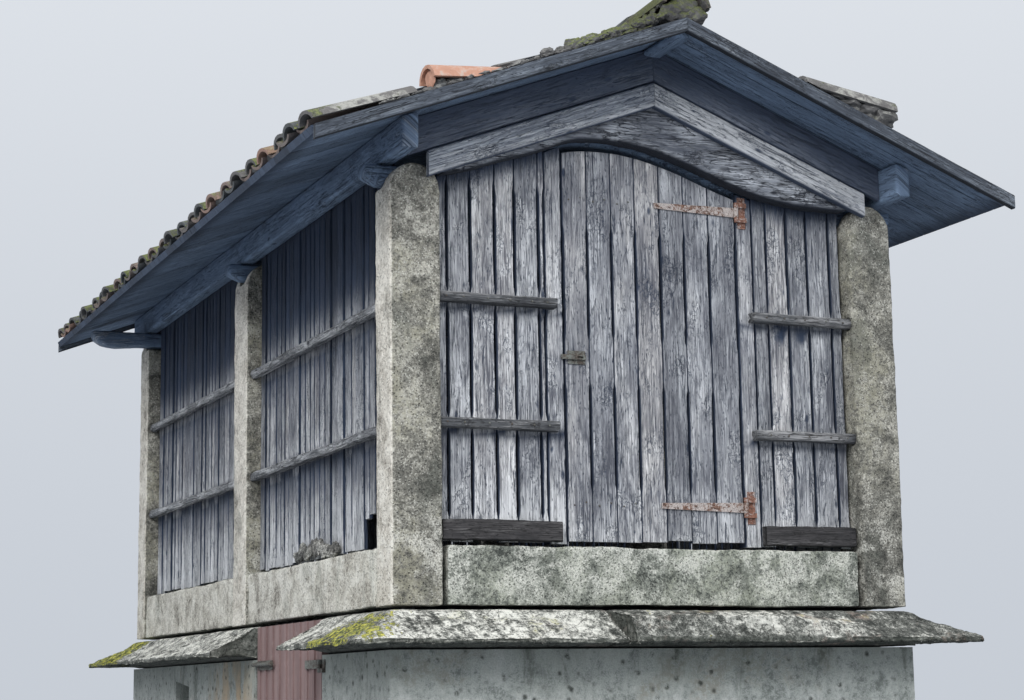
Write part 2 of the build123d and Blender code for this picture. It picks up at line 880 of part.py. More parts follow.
with BuildPart() as store_door_straps:
    for strap_level in store_strap_levels:
        strap_z = (strap_level - store_strap_height / 2, strap_level + store_strap_height / 2)
        block((left - strap_thickness, left), (store_pin_y, store_pin_y + store_strap_length), strap_z)
        upright_cylinder(store_pin_x, store_pin_y, knuckle_radius, strap_z)
        upright_cylinder(store_pin_x, store_pin_y, bore_radius, strap_z, Mode.SUBTRACT)
save(store_door_straps, "store_door_straps")

with BuildPart() as store_hinge_pins:
    for strap_level in store_strap_levels:
        lower_z = (strap_level - store_strap_height, strap_level - store_strap_height / 2 - knuckle_gap)
        plate_y = (
            jamb_front - knuckle_radius - hinge_plate_width,
            jamb_front - knuckle_radius,
        )
        plate_z = (lower_z[0], strap_level + store_strap_height / 2)
        block((left - hinge_plate_thickness, left), plate_y, plate_z)
        upright_cylinder(store_pin_x, store_pin_y, knuckle_radius, lower_z)
        block((store_pin_x - pin_radius, left), (plate_y[0], store_pin_y), lower_z)
        upright_cylinder(store_pin_x, store_pin_y, pin_radius, plate_z)
save(store_hinge_pins, "store_hinge_pins")

with BuildPart() as store_bolt:
    bolt_x = left - store_bolt_radius - hinge_plate_thickness - store_bolt_stand_off
    bolt_y = (jamb_rear + store_gap - store_bolt_length, jamb_rear + store_gap)
    guide_y = (bolt_y[0] + store_leaf_thickness, store_leaf_y[1] - store_leaf_thickness)
    bolt_axis = Plane((bolt_x, bolt_y[0], store_bolt_level), x_dir=(1, 0, 0), z_dir=(0, 1, 0))
    with BuildSketch(bolt_axis) as rod_section:
        Circle(store_bolt_radius)
    extrude(rod_section.sketch, amount=store_bolt_length)
    block(
        (left - hinge_plate_thickness, left),
        guide_y,
        (store_bolt_level - 3 * store_bolt_radius, store_bolt_level + 2 * store_bolt_radius),
    )
    for guide_end in guide_y:
        guide_start = min(guide_end, guide_y[1] - 2 * store_bolt_radius)
        block(
            (bolt_x, left),
            (guide_start, guide_start + 2 * store_bolt_radius),
            (store_bolt_level - 1.5 * store_bolt_radius, store_bolt_level + 1.5 * store_bolt_radius),
        )
save(store_bolt, "store_bolt")
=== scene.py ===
import math
import random

import bmesh
import bpy
from mathutils import Matrix, Vector, noise


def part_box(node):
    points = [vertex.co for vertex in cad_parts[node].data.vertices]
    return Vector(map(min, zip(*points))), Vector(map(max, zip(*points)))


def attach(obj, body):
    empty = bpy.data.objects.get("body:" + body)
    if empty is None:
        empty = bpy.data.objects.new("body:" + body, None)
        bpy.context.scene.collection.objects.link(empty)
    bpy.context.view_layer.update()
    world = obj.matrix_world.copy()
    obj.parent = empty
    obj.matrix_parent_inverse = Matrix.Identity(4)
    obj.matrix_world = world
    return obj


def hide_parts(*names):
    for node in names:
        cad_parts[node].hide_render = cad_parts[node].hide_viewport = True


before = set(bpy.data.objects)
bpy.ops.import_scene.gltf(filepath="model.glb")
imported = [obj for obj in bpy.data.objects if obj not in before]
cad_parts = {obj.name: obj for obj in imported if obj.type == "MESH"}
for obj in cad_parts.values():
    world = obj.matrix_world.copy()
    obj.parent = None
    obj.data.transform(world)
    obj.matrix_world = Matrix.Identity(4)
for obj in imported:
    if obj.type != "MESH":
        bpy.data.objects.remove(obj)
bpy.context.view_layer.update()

# The store's walls: rubble rendered with lime and washed white long ago.
# Under the slabs the wash is darker and greenish in places, and it has
# worn off in patches that show the sandy coat below.


class Flow:
    """A socket of a material's tree; arithmetic on it adds Math nodes."""

    def __init__(self, socket):
        self.socket = socket

    def make(self, kind, settings=None, values=None, out=0):
        """Add a node to the same tree, set it up and return one of its outputs."""
        tree = self.socket.id_data
        node = tree.nodes.new(kind)
        for name, value in (settings or {}).items():
            if name == "stops":
                ramp = node.color_ramp
                while len(ramp.elements) < len(value):
                    ramp.elements.new(0.5)
                for element, (place, colour) in zip(ramp.elements, value):
                    element.position = place
                    element.color = (*colour, 1)
            else:
                setattr(node, name, value)
        for name, value in (values or {}).items():
            socket = node.inputs[name]
            if isinstance(value, Flow):
                tree.links.new(value.socket, socket)
            elif isinstance(value, (tuple, list)) and len(socket.default_value) == 4:
                socket.default_value = (*value[:3], 1)
            else:
                socket.default_value = value
        return Flow(node.outputs[out]) if len(node.outputs) else None

    def math(self, operation, *others):
        """One Math node on this value and the others."""
        values = {index: value for index, value in enumerate((self, *others))}
        return self.make("ShaderNodeMath", {"operation": operation}, values)

    def turned(self, operation, other):
        """One Math node with the operands the other way round."""
        return self.make("ShaderNodeMath", {"operation": operation}, {0: other, 1: self})

    def __add__(self, other):
        return self.math("ADD", other)

    def __sub__(self, other):
        return self.math("SUBTRACT", other)

    def __rsub__(self, other):
        return self.turned("SUBTRACT", other)

    def __mul__(self, other):
        return self.math("MULTIPLY", other)

    __radd__ = __add__
    __rmul__ = __mul__

    def between(self, low, high):
        """0 below low, 1 above high and smooth from one to the other."""
        settings = {"interpolation_type": "SMOOTHSTEP"}
        values = {"Value": self, "From Min": low, "From Max": high}
        return self.make("ShaderNodeMapRange", settings, values)

    def ramp(self, *stops):
        """Colours read off this value."""
        return self.make("ShaderNodeValToRGB", {"stops": stops}, {0: self})

    def paint(self, colour, share):
        """A colour laid over this one by a share from 0 to 1."""
        return self.make("ShaderNodeMix", {"data_type": "RGBA"}, {0: share, 6: self, 7: colour}, 2)

    def coats(self, *layers):
        """Colours laid over this one in turn, each with its share."""
        colour = self
        for tint, share in layers:
            colour = colour.paint(tint, share)
        return colour

    def shaded(self, amount):
        """This colour multiplied by a value."""
        return self.make("ShaderNodeVectorMath", {"operation": "SCALE"}, {0: self, "Scale": amount})

    def part(self, axis):
        """One coordinate of a vector: 0, 1 or 2."""
        return self.make("ShaderNodeSeparateXYZ", None, {0: self}, axis)

    def facing(self, axis):
        """One coordinate of the way that the surface faces."""
        return self.make("ShaderNodeNewGeometry", None, None, 1).part(axis)

    def field(self, name):
        """A value that the mesh carries."""
        return self.make("ShaderNodeAttribute", {"attribute_name": name}, None, 2)

    def stretched(self, scale, shift=(0, 0, 0)):
        """These coordinates scaled along each axis, then moved."""
        values = {"Vector": self, "Scale": scale, "Location": shift}
        return self.make("ShaderNodeMapping", None, values)

    def near(self, spot, reach):
        """1 close to a spot and 0 from the given distance on."""
        gap = self.make("ShaderNodeVectorMath", {"operation": "DISTANCE"}, {0: self, 1: spot}, 1)
        return 1 - gap.between(reach * 0.35, reach)

    def cloud(self, scale, detail, rough, bend=0.0, shift=(0, 0, 0)):
        """Soft noise from 0 to 1; three scales stretch it along the axes."""
        if isinstance(scale, tuple):
            return self.stretched(scale, shift).cloud(1.0, detail, rough, bend)
        values = {"Scale": scale, "Detail": detail, "Roughness": rough, "Distortion": bend}
        return self.make("ShaderNodeTexNoise", None, {"Vector": self, **values})

    def pocks(self, scale, low, high):
        """Marks at scattered points: 1 within low of a point and 0 beyond high."""
        points = self.make("ShaderNodeTexVoronoi", None, {"Vector": self, "Scale": scale})
        return 1 - points.between(low, high)

    def veins(self, scale, width, detail, shift=(0, 0, 0)):
        """Thin wandering lines along the level lines of soft noise."""
        field = self.cloud(scale, detail, 0.6, 0.5, shift)
        return 1 - (field - 0.5).math("ABSOLUTE").between(0.0, width)


def new_finish(name, source="Object"):
    """An empty material and the coordinates that it starts from."""
    material = bpy.data.materials.new(name)
    material.use_nodes = True
    material.node_tree.nodes.clear()
    start = material.node_tree.nodes.new("ShaderNodeTexCoord")
    return material, Flow(start.outputs[source])


def seal(material, colour, roughness, height, depth, metal=0.0):
    """Join a finish's colour, roughness and relief to its surface; depth is in metres."""
    values = {"Strength": 1.0, "Distance": depth, "Height": height}
    relief = colour.make("ShaderNodeBump", None, values)
    values = {"Base Color": colour, "Roughness": roughness, "Metallic": metal, "Normal": relief}
    surface = colour.make("ShaderNodeBsdfPrincipled", None, values)
    surface.make("ShaderNodeOutputMaterial", None, {"Surface": surface})
    return material


def dress(node, material):
    """Give a carried-over node its finish."""
    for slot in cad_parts[node].material_slots:
        slot.material = material


def limewash():
    """Old limewash on render: worn in patches, streaked, and splashed at the foot."""
    material, place = new_finish("limewashed render")
    height = place.part(2)
    patches = place.cloud(1.7, 6, 0.64, 0.3)
    mottle = place.cloud(8, 7, 0.75, 0.4)
    fine = place.cloud(44, 5, 0.76)
    grit = place.cloud(170, 4, 0.7)
    drips = place.cloud((9, 9, 1.6), 6, 0.7, 0.5)
    value = mottle * 0.55 + fine * 0.35 + grit * 0.2 - 0.05
    worn = patches.between(0.56, 0.62) * mottle.between(0.4, 0.56)
    tan = place.near((-1.12, 0.07, 1.5), 0.55) * place.cloud((7, 7, 3), 4, 0.6).between(0.42, 0.52)
    # Darker greenish patches, laid in a band under the slabs further down.
    dark_patches = (mottle * 0.5 + fine * 0.3 + drips * 0.2).between(0.40, 0.58)
    splash = (1 - height.between(0.0, 0.55)) * fine.between(0.3, 0.62)
    spots = place.pocks(24, 0.10, 0.38) * fine.between(0.40, 0.52) * mottle.between(0.40, 0.56)
    colour = value.ramp(
        (0.4, (0.175, 0.195, 0.178)), (0.5, (0.47, 0.495, 0.468)), (0.6, (0.81, 0.825, 0.795)),
    ).coats(
        ((0.30, 0.26, 0.20), worn * fine.between(0.38, 0.55) * 0.6),
        ((0.52, 0.38, 0.24), tan * 0.75),
        ((0.13, 0.155, 0.12), height.between(1.40, 1.80) * dark_patches * 0.66),
        ((0.08, 0.09, 0.075), drips.between(0.56, 0.66) * fine.between(0.4, 0.55) * 0.6),
        ((0.12, 0.12, 0.08), splash * 0.6),
        ((0.03, 0.035, 0.028), spots * 0.9),
    )
    relief = mottle * 0.7 + fine * 0.6 + grit * 0.3 - worn * 0.4
    return seal(material, colour, 0.93, relief, depth=0.006)


render_finish = limewash()
for word in ("front", "rear", "right", "left", "door_pier"):
    dress("store_wall_" + word, render_finish)

# The ring of slabs: rough granite flags that jut out to keep rats down.
# Their edges have weathered to a thin uneven lip. Grey and white lichen
# covers the flat tops and moss the corners; the lips carry painted shade.


def plain(name, mesh):
    """An object at the origin that holds a finished mesh."""
    data = bpy.data.meshes.new(name)
    mesh.to_mesh(data)
    mesh.free()
    piece = bpy.data.objects.new(name, data)
    bpy.context.scene.collection.objects.link(piece)
    return piece


def settled(piece):
    """The piece with its modifiers worked into a plain mesh."""
    depsgraph = bpy.context.evaluated_depsgraph_get()
    depsgraph.update()
    data = bpy.data.meshes.new_from_object(piece.evaluated_get(depsgraph), depsgraph=depsgraph)
    piece.modifiers.clear()
    piece.data = data
    return piece


def everywhere(spot):
    """Full wear at every point."""
    return 1.0


def hewn(node, name, wear, seed, smooth=4, broad=0.35, share=everywhere, cell=0.012):
    """A stone or beam with softened edges and a surface worn inwards.

    wear is the deepest wear, share scales it by place, and broad is the size of the hollows.
    """
    mesh = bmesh.new()
    mesh.from_mesh(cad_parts[node].data)
    bmesh.ops.remove_doubles(mesh, verts=mesh.verts, dist=1e-5)
    piece = plain(name, mesh)
    remesh = piece.modifiers.new("cells", "REMESH")
    remesh.mode = "VOXEL"
    remesh.voxel_size = cell
    soften = piece.modifiers.new("soften", "SMOOTH")
    soften.factor = 0.5
    soften.iterations = smooth
    settled(piece)
    mesh = bmesh.new()
    mesh.from_mesh(piece.data)
    mesh.normal_update()
    lows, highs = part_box(node)
    shift = Vector((seed * 3.7, seed * 1.3, seed * 2.1))
    moves = []
    for vertex in mesh.verts:
        spot = vertex.co + shift
        depth = 0.0
        for part, size in ((0.36, 1.0), (0.26, 0.3), (0.22, 0.12), (0.16, 0.055)):
            depth += part * (0.5 + 0.5 * noise.noise(spot / (broad * size)))
        moves.append(vertex.co - vertex.normal * depth * wear * share(vertex.co))
    for vertex, spot in zip(mesh.verts, moves):
        vertex.co = [min(max(spot[i], lows[i]), highs[i]) for i in range(3)]
    for face in mesh.faces:
        face.smooth = True
    mesh.to_mesh(piece.data)
    mesh.free()
    return piece


def placed(piece, node, material, body="granary"):
    """Give a piece its finish and its body, and hide the node that it stands for."""
    piece.data.materials.clear()
    piece.data.materials.append(material)
    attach(piece, body)
    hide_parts(node)


def clamped(value):
    """The value held between 0 and 1."""
    return min(max(value, 0.0), 1.0)


def past_the_walls(spot):
    """Little wear on a slab's bed, and full wear where it juts out."""
    out = max(abs(spot.x) - 1.10, abs(spot.y) - 2.02)
    return 0.22 + 0.78 * clamped(out / 0.07)


def slab_granite():
    """Granite with lichen on its flat tops, moss at two corners, and a lip painted dark as shade.
    """
    material, place = new_finish("lichened slab granite")
    upward = place.facing(2)
    grain = place.cloud(150, 4, 0.78)
    coarse = place.cloud(42, 5, 0.78)
    lumps = place.cloud(11, 6, 0.72, 0.5)
    blotch = place.cloud(4.2, 6, 0.66, 0.3)
    runs = place.cloud((30, 4, 4), 5, 0.7, 0.6)
    pits = place.pocks(64, 0.1, 0.36)
    cracks = place.veins(8, 0.018, 6)
    drift = place.stretched((1, 1, 1), (2, 5, 1)).cloud(2.2, 3, 0.6)
    east = place.part(0).between(-0.5, 0.2) * drift.between(0.36, 0.5)
    value = grain * 0.35 + coarse * 0.45 + lumps * 0.35 + runs * 0.2 - 0.165 - east * 0.055
    pale = lumps * 0.4 + coarse * 0.3 + grain * 0.15 + runs * 0.15 - east * 0.085
    # Painted shade: faces turned away from the sky are darkened.
    darkened = (1 - upward.between(-0.3, 0.75)) * (lumps * 0.5 + grain * 0.5).between(0.3, 0.52)
    rust = blotch.between(0.54, 0.63) * coarse.between(0.4, 0.54) * place.part(0).between(-0.9, 0.5)
    corner = place.near((-1.34, -1.95, 1.84), 0.42) * 0.16
    corner = corner + place.near((-1.30, 1.95, 1.84), 0.55) * 0.2
    thick = (corner + lumps * 0.45 + coarse * 0.25 + runs * 0.3).between(0.605, 0.64)
    thin = blotch.between(0.57, 0.66) * lumps.between(0.46, 0.54) * upward.between(0.1, 0.6) * 0.4
    moss = (thick * upward.between(-0.3, 0.3)).math("MAXIMUM", thin)
    greens = coarse.ramp(
        (0.42, (0.03, 0.045, 0.012)), (0.49, (0.16, 0.19, 0.02)), (0.56, (0.55, 0.52, 0.06)),
    )
    colour = value.ramp(
        (0.4, (0.03, 0.034, 0.03)), (0.49, (0.19, 0.195, 0.175)), (0.59, (0.56, 0.56, 0.51)),
    ).coats(
        ((0.93, 0.92, 0.84), pale.between(0.44, 0.54) * upward.between(0.35, 0.85) * 0.80),
        ((0.06, 0.068, 0.056), darkened * 0.8),
        ((0.34, 0.24, 0.20), rust * 0.55),
        ((0.025, 0.028, 0.024), pits * coarse.between(0.35, 0.6) * 0.85),
        ((0.03, 0.033, 0.028), cracks * coarse.between(0.40, 0.55) * 0.75),
        (greens, moss * 0.92),
    )
    relief = lumps * 0.5 + coarse * 0.6 + grain * 0.35 + runs * 0.3
    relief = relief - pits * 0.4 - cracks * 0.4 + moss * 0.5
    return seal(material, colour, 0.95, relief, depth=0.010)


slab_finish = slab_granite()
for index, word in enumerate(("front_left", "front_right", "left", "right", "rear")):
    slab = "slab_" + word
    stone = hewn(
        slab, slab + "_stone", wear=0.042, seed=11 + index, smooth=5, broad=0.24,
        share=past_the_walls,
    )
    placed(stone, slab, slab_finish)

# Sills: long granite beams set on the slabs between the pillars, roughly
# squared. They are grey-green in front and lichened, and the faces turned
# to the left carry painted sunlight.


def granite(name, dark, middle, light, lichen, pale):
    """Coarse speckled granite; pale is how much painted sunlight lightens the faces turned to the
    left.
    """
    material, place = new_finish(name)
    grain = place.cloud(140, 4, 0.8)
    coarse = place.cloud(48, 5, 0.76)
    mottle = place.cloud(9, 6, 0.7, 0.4)
    blotch = place.cloud(2.6, 6, 0.64, 0.6)
    pits = place.pocks(78, 0.1, 0.36)
    flecks = place.stretched((1, 1, 1), (3, 7, 5)).pocks(92, 0.1, 0.32)
    value = grain * 0.36 + coarse * 0.36 + mottle * 0.42 + blotch * 0.26 - 0.20
    stain = place.cloud((3.2, 3.2, 1.4), 6, 0.66, 0.7, (9, 2, 4)).between(0.54, 0.64)
    # Painted sunlight: faces turned to the left, on the outer left side, take a pale sunlit colour.
    side = (0 - place.facing(0)).between(0.35, 0.8) * (0 - place.part(0)).between(1.02, 1.09)
    sunlit_colour = value.ramp(
        (0.38, (0.16, 0.145, 0.12)), (0.46, (0.56, 0.52, 0.45)), (0.58, (0.90, 0.86, 0.77)),
    )
    foot = 1 - (place.part(2) - 2.15).math("ABSOLUTE").between(0.05, 0.22)
    colour = value.ramp((0.4, dark), (0.5, middle), (0.6, light)).coats(
        (lichen, blotch.between(0.46, 0.62) * coarse.between(0.38, 0.58) * 0.55),
        ((0.09, 0.10, 0.085), stain * coarse.between(0.35, 0.6) * 0.6),
        (sunlit_colour, side * (1 - stain * 0.5) * pale),
        ((0.74, 0.74, 0.67), flecks * mottle.between(0.38, 0.56) * 0.7),
        ((0.78, 0.77, 0.70), foot * mottle.between(0.46, 0.56) * grain.between(0.42, 0.56) * 0.55),
        ((0.03, 0.033, 0.028), pits * coarse.between(0.38, 0.60) * 0.75),
    )
    relief = coarse * 0.7 + grain * 0.45 + mottle * 0.4 - pits * 0.6
    return seal(material, colour, 0.93, relief, depth=0.0075)


sill_finish = granite(
    "sill granite", (0.055, 0.062, 0.054), (0.28, 0.295, 0.255), (0.69, 0.70, 0.63),
    lichen=(0.34, 0.36, 0.27), pale=0.70,
)
for index, sill in enumerate(("sill_front", "sill_rear", "sills_left", "sills_right")):
    placed(hewn(sill, sill + "_stone", wear=0.025, seed=31 + index), sill, sill_finish)

# A bank of crumbled mortar on the left sill at the foot of the boards: a
# row of lumps, highest in the middle.
sill_top = 2.197
lumps = 26
patch_spots = []
chance = random.Random(21)
for index in range(lumps):
    height_share = 1.2 - abs(index - lumps / 2) / 22
    size = (0.012, chance.uniform(0.022, 0.042), chance.uniform(0.018, 0.034) * height_share)
    spot = (-1.066, -1.27 + 0.021 * index, sill_top + size[2] * chance.uniform(0.6, 1.9))
    patch_spots.append((spot, size, chance.uniform(-0.4, 0.4)))


def lumpy(name, spots, seed, detail=3, tone=0.45):
    """Crumbled lumps; each spot is a place, half sizes along X, Y and Z, and a turn about Y."""
    mesh = bmesh.new()
    field = mesh.verts.layers.float.new("tone")
    for index, (place, size, turn) in enumerate(spots):
        made = bmesh.ops.create_icosphere(mesh, subdivisions=detail, radius=1.0)
        about = Matrix.Rotation(turn, 3, "Y")
        for vertex in made["verts"]:
            lump = noise.noise(vertex.co * 1.7 + Vector((seed + index * 2.3, 0, 0)))
            lump += 0.5 * noise.noise(vertex.co * 4.5 + Vector((0, seed + index * 1.9, 0)))
            swollen = vertex.co * (1 + 0.38 * lump)
            vertex[field] = tone
            vertex.co = about @ Vector([swollen[i] * size[i] for i in range(3)]) + Vector(place)
    return plain(name, mesh)


mortar = lumpy("sill_mortar", patch_spots, seed=3)
crumbled = granite(
    "crumbled mortar", (0.03, 0.03, 0.03), (0.12, 0.118, 0.112), (0.40, 0.385, 0.36),
    lichen=(0.22, 0.21, 0.18), pale=0.0,
)
mortar.data.materials.append(crumbled)
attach(mortar, "granary")

# Pillars: six single granite posts with round heads, dressed flat with a
# point and left rough. Rails and tie beams are let into them. Their faces
# turned to the left carry painted sunlight.
pillar_finish = granite(
    "pillar granite", (0.06, 0.06, 0.052), (0.225, 0.218, 0.188), (0.60, 0.58, 0.51),
    lichen=(0.31, 0.295, 0.21), pale=0.95,
)
for index, row in enumerate(("pillars_front", "pillars_middle", "pillars_rear")):
    placed(hewn(row, row + "_stone", wear=0.018, seed=41 + index), row, pillar_finish)

# The chamber's walls: upright chestnut boards nailed to the rails, their
# edges cut back in long slots so that air passes, and weathered to silver.
# Under the eaves and under each rail they carry painted shade.


def weathered_wood(name, light, middle, dark, deep, warm=(1.0, 1.0, 1.0), checked=0.45):
    """Bare wood whose grain follows the board; its UV map is in metres, V along the grain.

    deep is the colour of cracks and of painted shade, warm tints some boards, and checked is
    how strongly long wandering drying checks show.
    """
    material, place = new_finish(name, "UV")
    tone, painted_shade, bleach = (place.field(word) for word in ("tone", "shade", "bleach"))
    fibre = place.cloud((260, 3.4, 1), 4, 0.62, 0.6)
    fine = place.cloud((720, 15, 1), 3, 0.65, 0.2)
    figure = place.cloud((30, 3.2, 1), 5, 0.62, 3.6)
    blotch = place.cloud((13, 3.0, 1), 5, 0.66, 0.5)
    patch = place.cloud((7, 1.8, 1), 4, 0.6, 0.3, (7, 3, 0))
    cracks = place.veins((50, 1.5, 1), 0.016, 3) * blotch.between(0.42, 0.52)
    splits = place.veins((120, 3.6, 1), 0.026, 3, (3, 8, 0)) * figure.between(0.49, 0.55)
    checks = place.veins((24, 4.2, 1), 0.03, 5, (5, 1, 0)) * blotch.between(0.40, 0.56)
    whorl = place.cloud((7, 4.0, 1), 3, 0.5, 1.0, (11, 6, 0)).between(0.55, 0.63)
    rings = place.veins((62, 34, 1), 0.05, 4) * whorl
    knot = place.stretched((13, 6, 1)).pocks(1.0, 0.06, 0.15) * blotch.between(0.43, 0.48)
    nicks = place.stretched((120, 36, 1)).pocks(1.0, 0.10, 0.30) * figure.between(0.46, 0.54)
    value = fibre * 0.26 + figure * 0.34 + fine * 0.14 + blotch * 0.36 + patch * 0.30 - 0.20
    colour = value.ramp((0.40, dark), (0.5, middle), (0.60, light))
    settings = {"operation": "MULTIPLY"}
    warmed = colour.make("ShaderNodeVectorMath", settings, {0: colour, 1: warm})
    streak = (fibre - 0.5) * 0.7 + (figure - 0.5) * 0.7 + (patch - 0.5) * 0.4
    colour = colour.coats(
        (warmed, (tone * 0.5 + patch * 0.5).between(0.5, 0.75)),
        ((0.70, 0.71, 0.72), (bleach + streak + whorl * 0.12).between(0.14, 0.5) * 0.7),
        (deep, rings * 0.75),
        (deep, splits * 0.65),
        (deep, nicks * 0.8),
        (deep, knot * 0.9),
        (deep, cracks * 0.95),
        (deep, checks * checked),
        # painted_shade: the mesh's shade field, which darkens the wood toward deep as painted
        # shade.
        (deep, (painted_shade + (fibre - 0.5) * 0.7).between(0.05, 0.95) * 0.97),
    ).shaded(tone * 0.5 + 0.74)
    relief = fibre * 0.45 + figure * 0.45 + fine * 0.1 - cracks * 1.3 - knot * 0.5
    relief = relief - nicks * 0.6 - rings * 0.5 - splits * 0.5 - checks * checked
    return seal(material, colour, 0.9, relief, depth=0.0035)


silver = weathered_wood(
    "silvered chestnut", (0.58, 0.60, 0.63), (0.28, 0.29, 0.315), (0.085, 0.09, 0.11),
    (0.017, 0.032, 0.066), (1.04, 0.99, 0.93),
)


def nowhere(spot):
    """No shade and no bleaching at any point."""
    return 0.0


def grain_slip(seed, form):
    """A board's tone and its slip on the grain map, drawn from its seed."""
    chance = random.Random(seed)
    tone = form.get("tone", chance.random())
    return tone, Vector((chance.uniform(0, 40), chance.uniform(0, 40)))


class Joinery:
    """Boards gathered into one mesh, with a UV map and a tone for each board."""

    def __init__(self, name):
        self.name = name
        self.mesh = bmesh.new()
        self.uv = self.mesh.loops.layers.uv.new("grain")
        layers = self.mesh.verts.layers.float
        self.fields = {word: layers.new(word) for word in ("tone", "shade", "bleach")}

    def board(self, origin, along, across, out, start, end, edges, thick, seed, **form):
        """One board with bevelled edges.

        start and end give its ends at a distance across, and edges its sides at a distance along.
        """
        bevel = form.get("bevel", 0.003)
        swell = 0.0014
        tone, slip = grain_slip(seed, form)
        middle = 0.5 * sum(edges(0.5 * (start(0) + end(0))))
        count = max(3, int(abs(end(middle) - start(middle)) / form.get("step", 0.03)))
        rings = []
        for row in range(count + 1):
            part = row / count
            guide = start(middle) + (end(middle) - start(middle)) * part
            low, high = edges(guide)
            width = high - low
            bulge = swell * noise.noise(Vector((seed * 1.7, guide * 3.1, 0.0)))
            # The third value marks the board's sides: their vertices carry full painted shade, so
            # the slots between boards read dark.
            spots = (
                (low, -thick, 1), (low, -bevel, 1), (low + bevel, 0.0, 0),
                (low + 0.33 * width, bulge, 0), (low + 0.67 * width, -bulge, 0),
                (high - bevel, 0.0, 0), (high, -bevel, 1), (high, -thick, 1),
                (high - 2 * bevel, -thick, 0), (low + 2 * bevel, -thick, 0),
            )
            ring = []
            for v, w, hidden in spots:
                u = start(v) + (end(v) - start(v)) * part
                spot = origin + along * u + across * v + out * min(w, 0.0)
                ring.append(self.corner(spot, u, v, w, tone, form, hidden))
            rings.append(ring)
        self.skin(rings, slip)

    def bar(self, origin, along, across, out, start, end, size, seed, **form):
        """A rough riven bar, furrowed and ragged by noise; origin is at its upper outer edge.

        size is its height and depth, and fray wears the end that is free.
        """
        height, depth = size
        rough = form.get("rough", 0.005)
        tone, slip = grain_slip(seed, form)
        count = max(6, int((end - start) / form.get("step", 0.022)))
        sides = 22
        squareness = 0.45
        rings = []
        for row in range(count + 1):
            part = row / count
            way = start + (end - start) * part
            ring = []
            for turn in range(sides):
                angle = 2 * math.pi * (turn + 0.5) / sides
                v = math.copysign(abs(math.cos(angle)) ** squareness, math.cos(angle))
                w = math.copysign(abs(math.sin(angle)) ** squareness, math.sin(angle))
                furrow = noise.noise(Vector((seed * 3.1 + 4 * v, 4 * w, way * 5.0)))
                furrow += 0.6 * noise.noise(Vector((seed * 1.9 + 11 * v, 11 * w, way * 16.0)))
                shrink = 1 - rough * (1.0 + furrow) / (0.5 * min(height, depth)) * 0.5
                ragged = noise.noise(Vector((seed * 2.7 + 9 * v, 9 * w, 0.0)))
                fray = max(0.0, form.get("fray", 0.0) * ragged)
                u = way
                u += fray * (1 - part) ** 6 if form.get("free") == "start" else 0.0
                u -= fray * part**6 if form.get("free") == "end" else 0.0
                height_here = -0.5 * height + 0.5 * height * v * shrink
                depth_here = -0.5 * depth + 0.5 * depth * w * shrink
                spot = origin + along * u + across * height_here + out * depth_here
                ring.append(self.corner(spot, u, turn * 0.008, 0.0, tone, form, 0.0))
            rings.append(ring)
        self.skin(rings, slip)

    def corner(self, spot, u, v, w, tone, form, hidden):
        """A vertex with its fields, and its place on the grain map; hidden is its least painted
        shade.
        """
        vertex = self.mesh.verts.new(spot)
        vertex[self.fields["tone"]] = tone
        vertex[self.fields["shade"]] = max(form.get("shade", nowhere)(spot), hidden)
        vertex[self.fields["bleach"]] = form.get("bleach", nowhere)(spot)
        return vertex, v, u, w

    def skin(self, rings, slip):
        """Faces between the rings and over both ends."""
        for lower, upper in zip(rings, rings[1:]):
            for index in range(len(lower)):
                near = (index + 1) % len(lower)
                self.face((lower[index], lower[near], upper[near], upper[index]), slip)
        self.face(tuple(reversed(rings[0])), slip)
        self.face(tuple(rings[-1]), slip)

    def face(self, corners, slip):
        """One face, with its corners laid on the grain map."""
        face = self.mesh.faces.new([corner[0] for corner in corners])
        face.smooth = len(corners) == 4
        for loop, corner in zip(face.loops, corners):
            loop[self.uv].uv = (corner[1] + corner[3] * 0.7 + slip[0], corner[2] + slip[1])

    def finished(self):
        """The boards as one object with sharp arrises."""
        bmesh.ops.recalc_face_normals(self.mesh, faces=self.mesh.faces)
        piece = plain(self.name, self.mesh)
        piece.data.set_sharp_from_angle(angle=math.radians(38))
        return piece


def slotted(left_edge, right_edge, seed, shut, cut, ragged=0.002):
    """Board sides that touch their neighbours in the shut stretches and stand back elsewhere."""
    taper = 0.022

    def edges(height):
        gap = min(max(low - height, height - high, 0.0) for low, high in shut)
        share = min(gap / taper, 1.0)
        share = share * share * (3 - 2 * share)
        sides = []
        for side, sign in ((left_edge, 1), (right_edge, -1)):
            wave = noise.noise(Vector((seed * 2.3 + sign, height * 4.0, side * 9.0)))
            fine = noise.noise(Vector((seed * 5.1 - sign, height * 27.0, side * 7.0)))
            back = 0.0008 + cut * share * (0.8 + 0.6 * abs(wave)) + ragged * abs(fine)
            sides.append(side + sign * back)
        return tuple(sides)

    return edges


def level(value):
    """A board's end that is square."""
    return lambda across: value


def board_edges(low, high, mean, seed):
    """Uneven board widths that fill a run."""
    chance = random.Random(seed)
    count = max(1, round((high - low) / mean))
    shares = [chance.uniform(0.7, 1.3) for _ in range(count)]
    scale = (high - low) / sum(shares)
    spots = [low]
    for share in shares:
        spots.append(spots[-1] + share * scale)
    return spots


up = Vector((0, 0, 1))
roof_pitch = math.radians(21)
roof_rise = math.tan(roof_pitch)
soffit_apex = 4.1849
rail_size = 0.045
bay_edge = 0.116
side_rail_tops = (2.650, 3.123)
side_shut = ((2.18, 2.26), (2.60, 2.65), (3.07, 3.13), (3.62, 3.90))


def under_deck(x):
    """Height of the deck's underside at a distance from the middle."""
    return soffit_apex - roof_rise * abs(x)


def fading(gap, reach, strength):
    """A strength that fades to nothing over a reach, and nothing outside it."""
    return strength * (1 - gap / reach) if 0 < gap < reach else 0.0


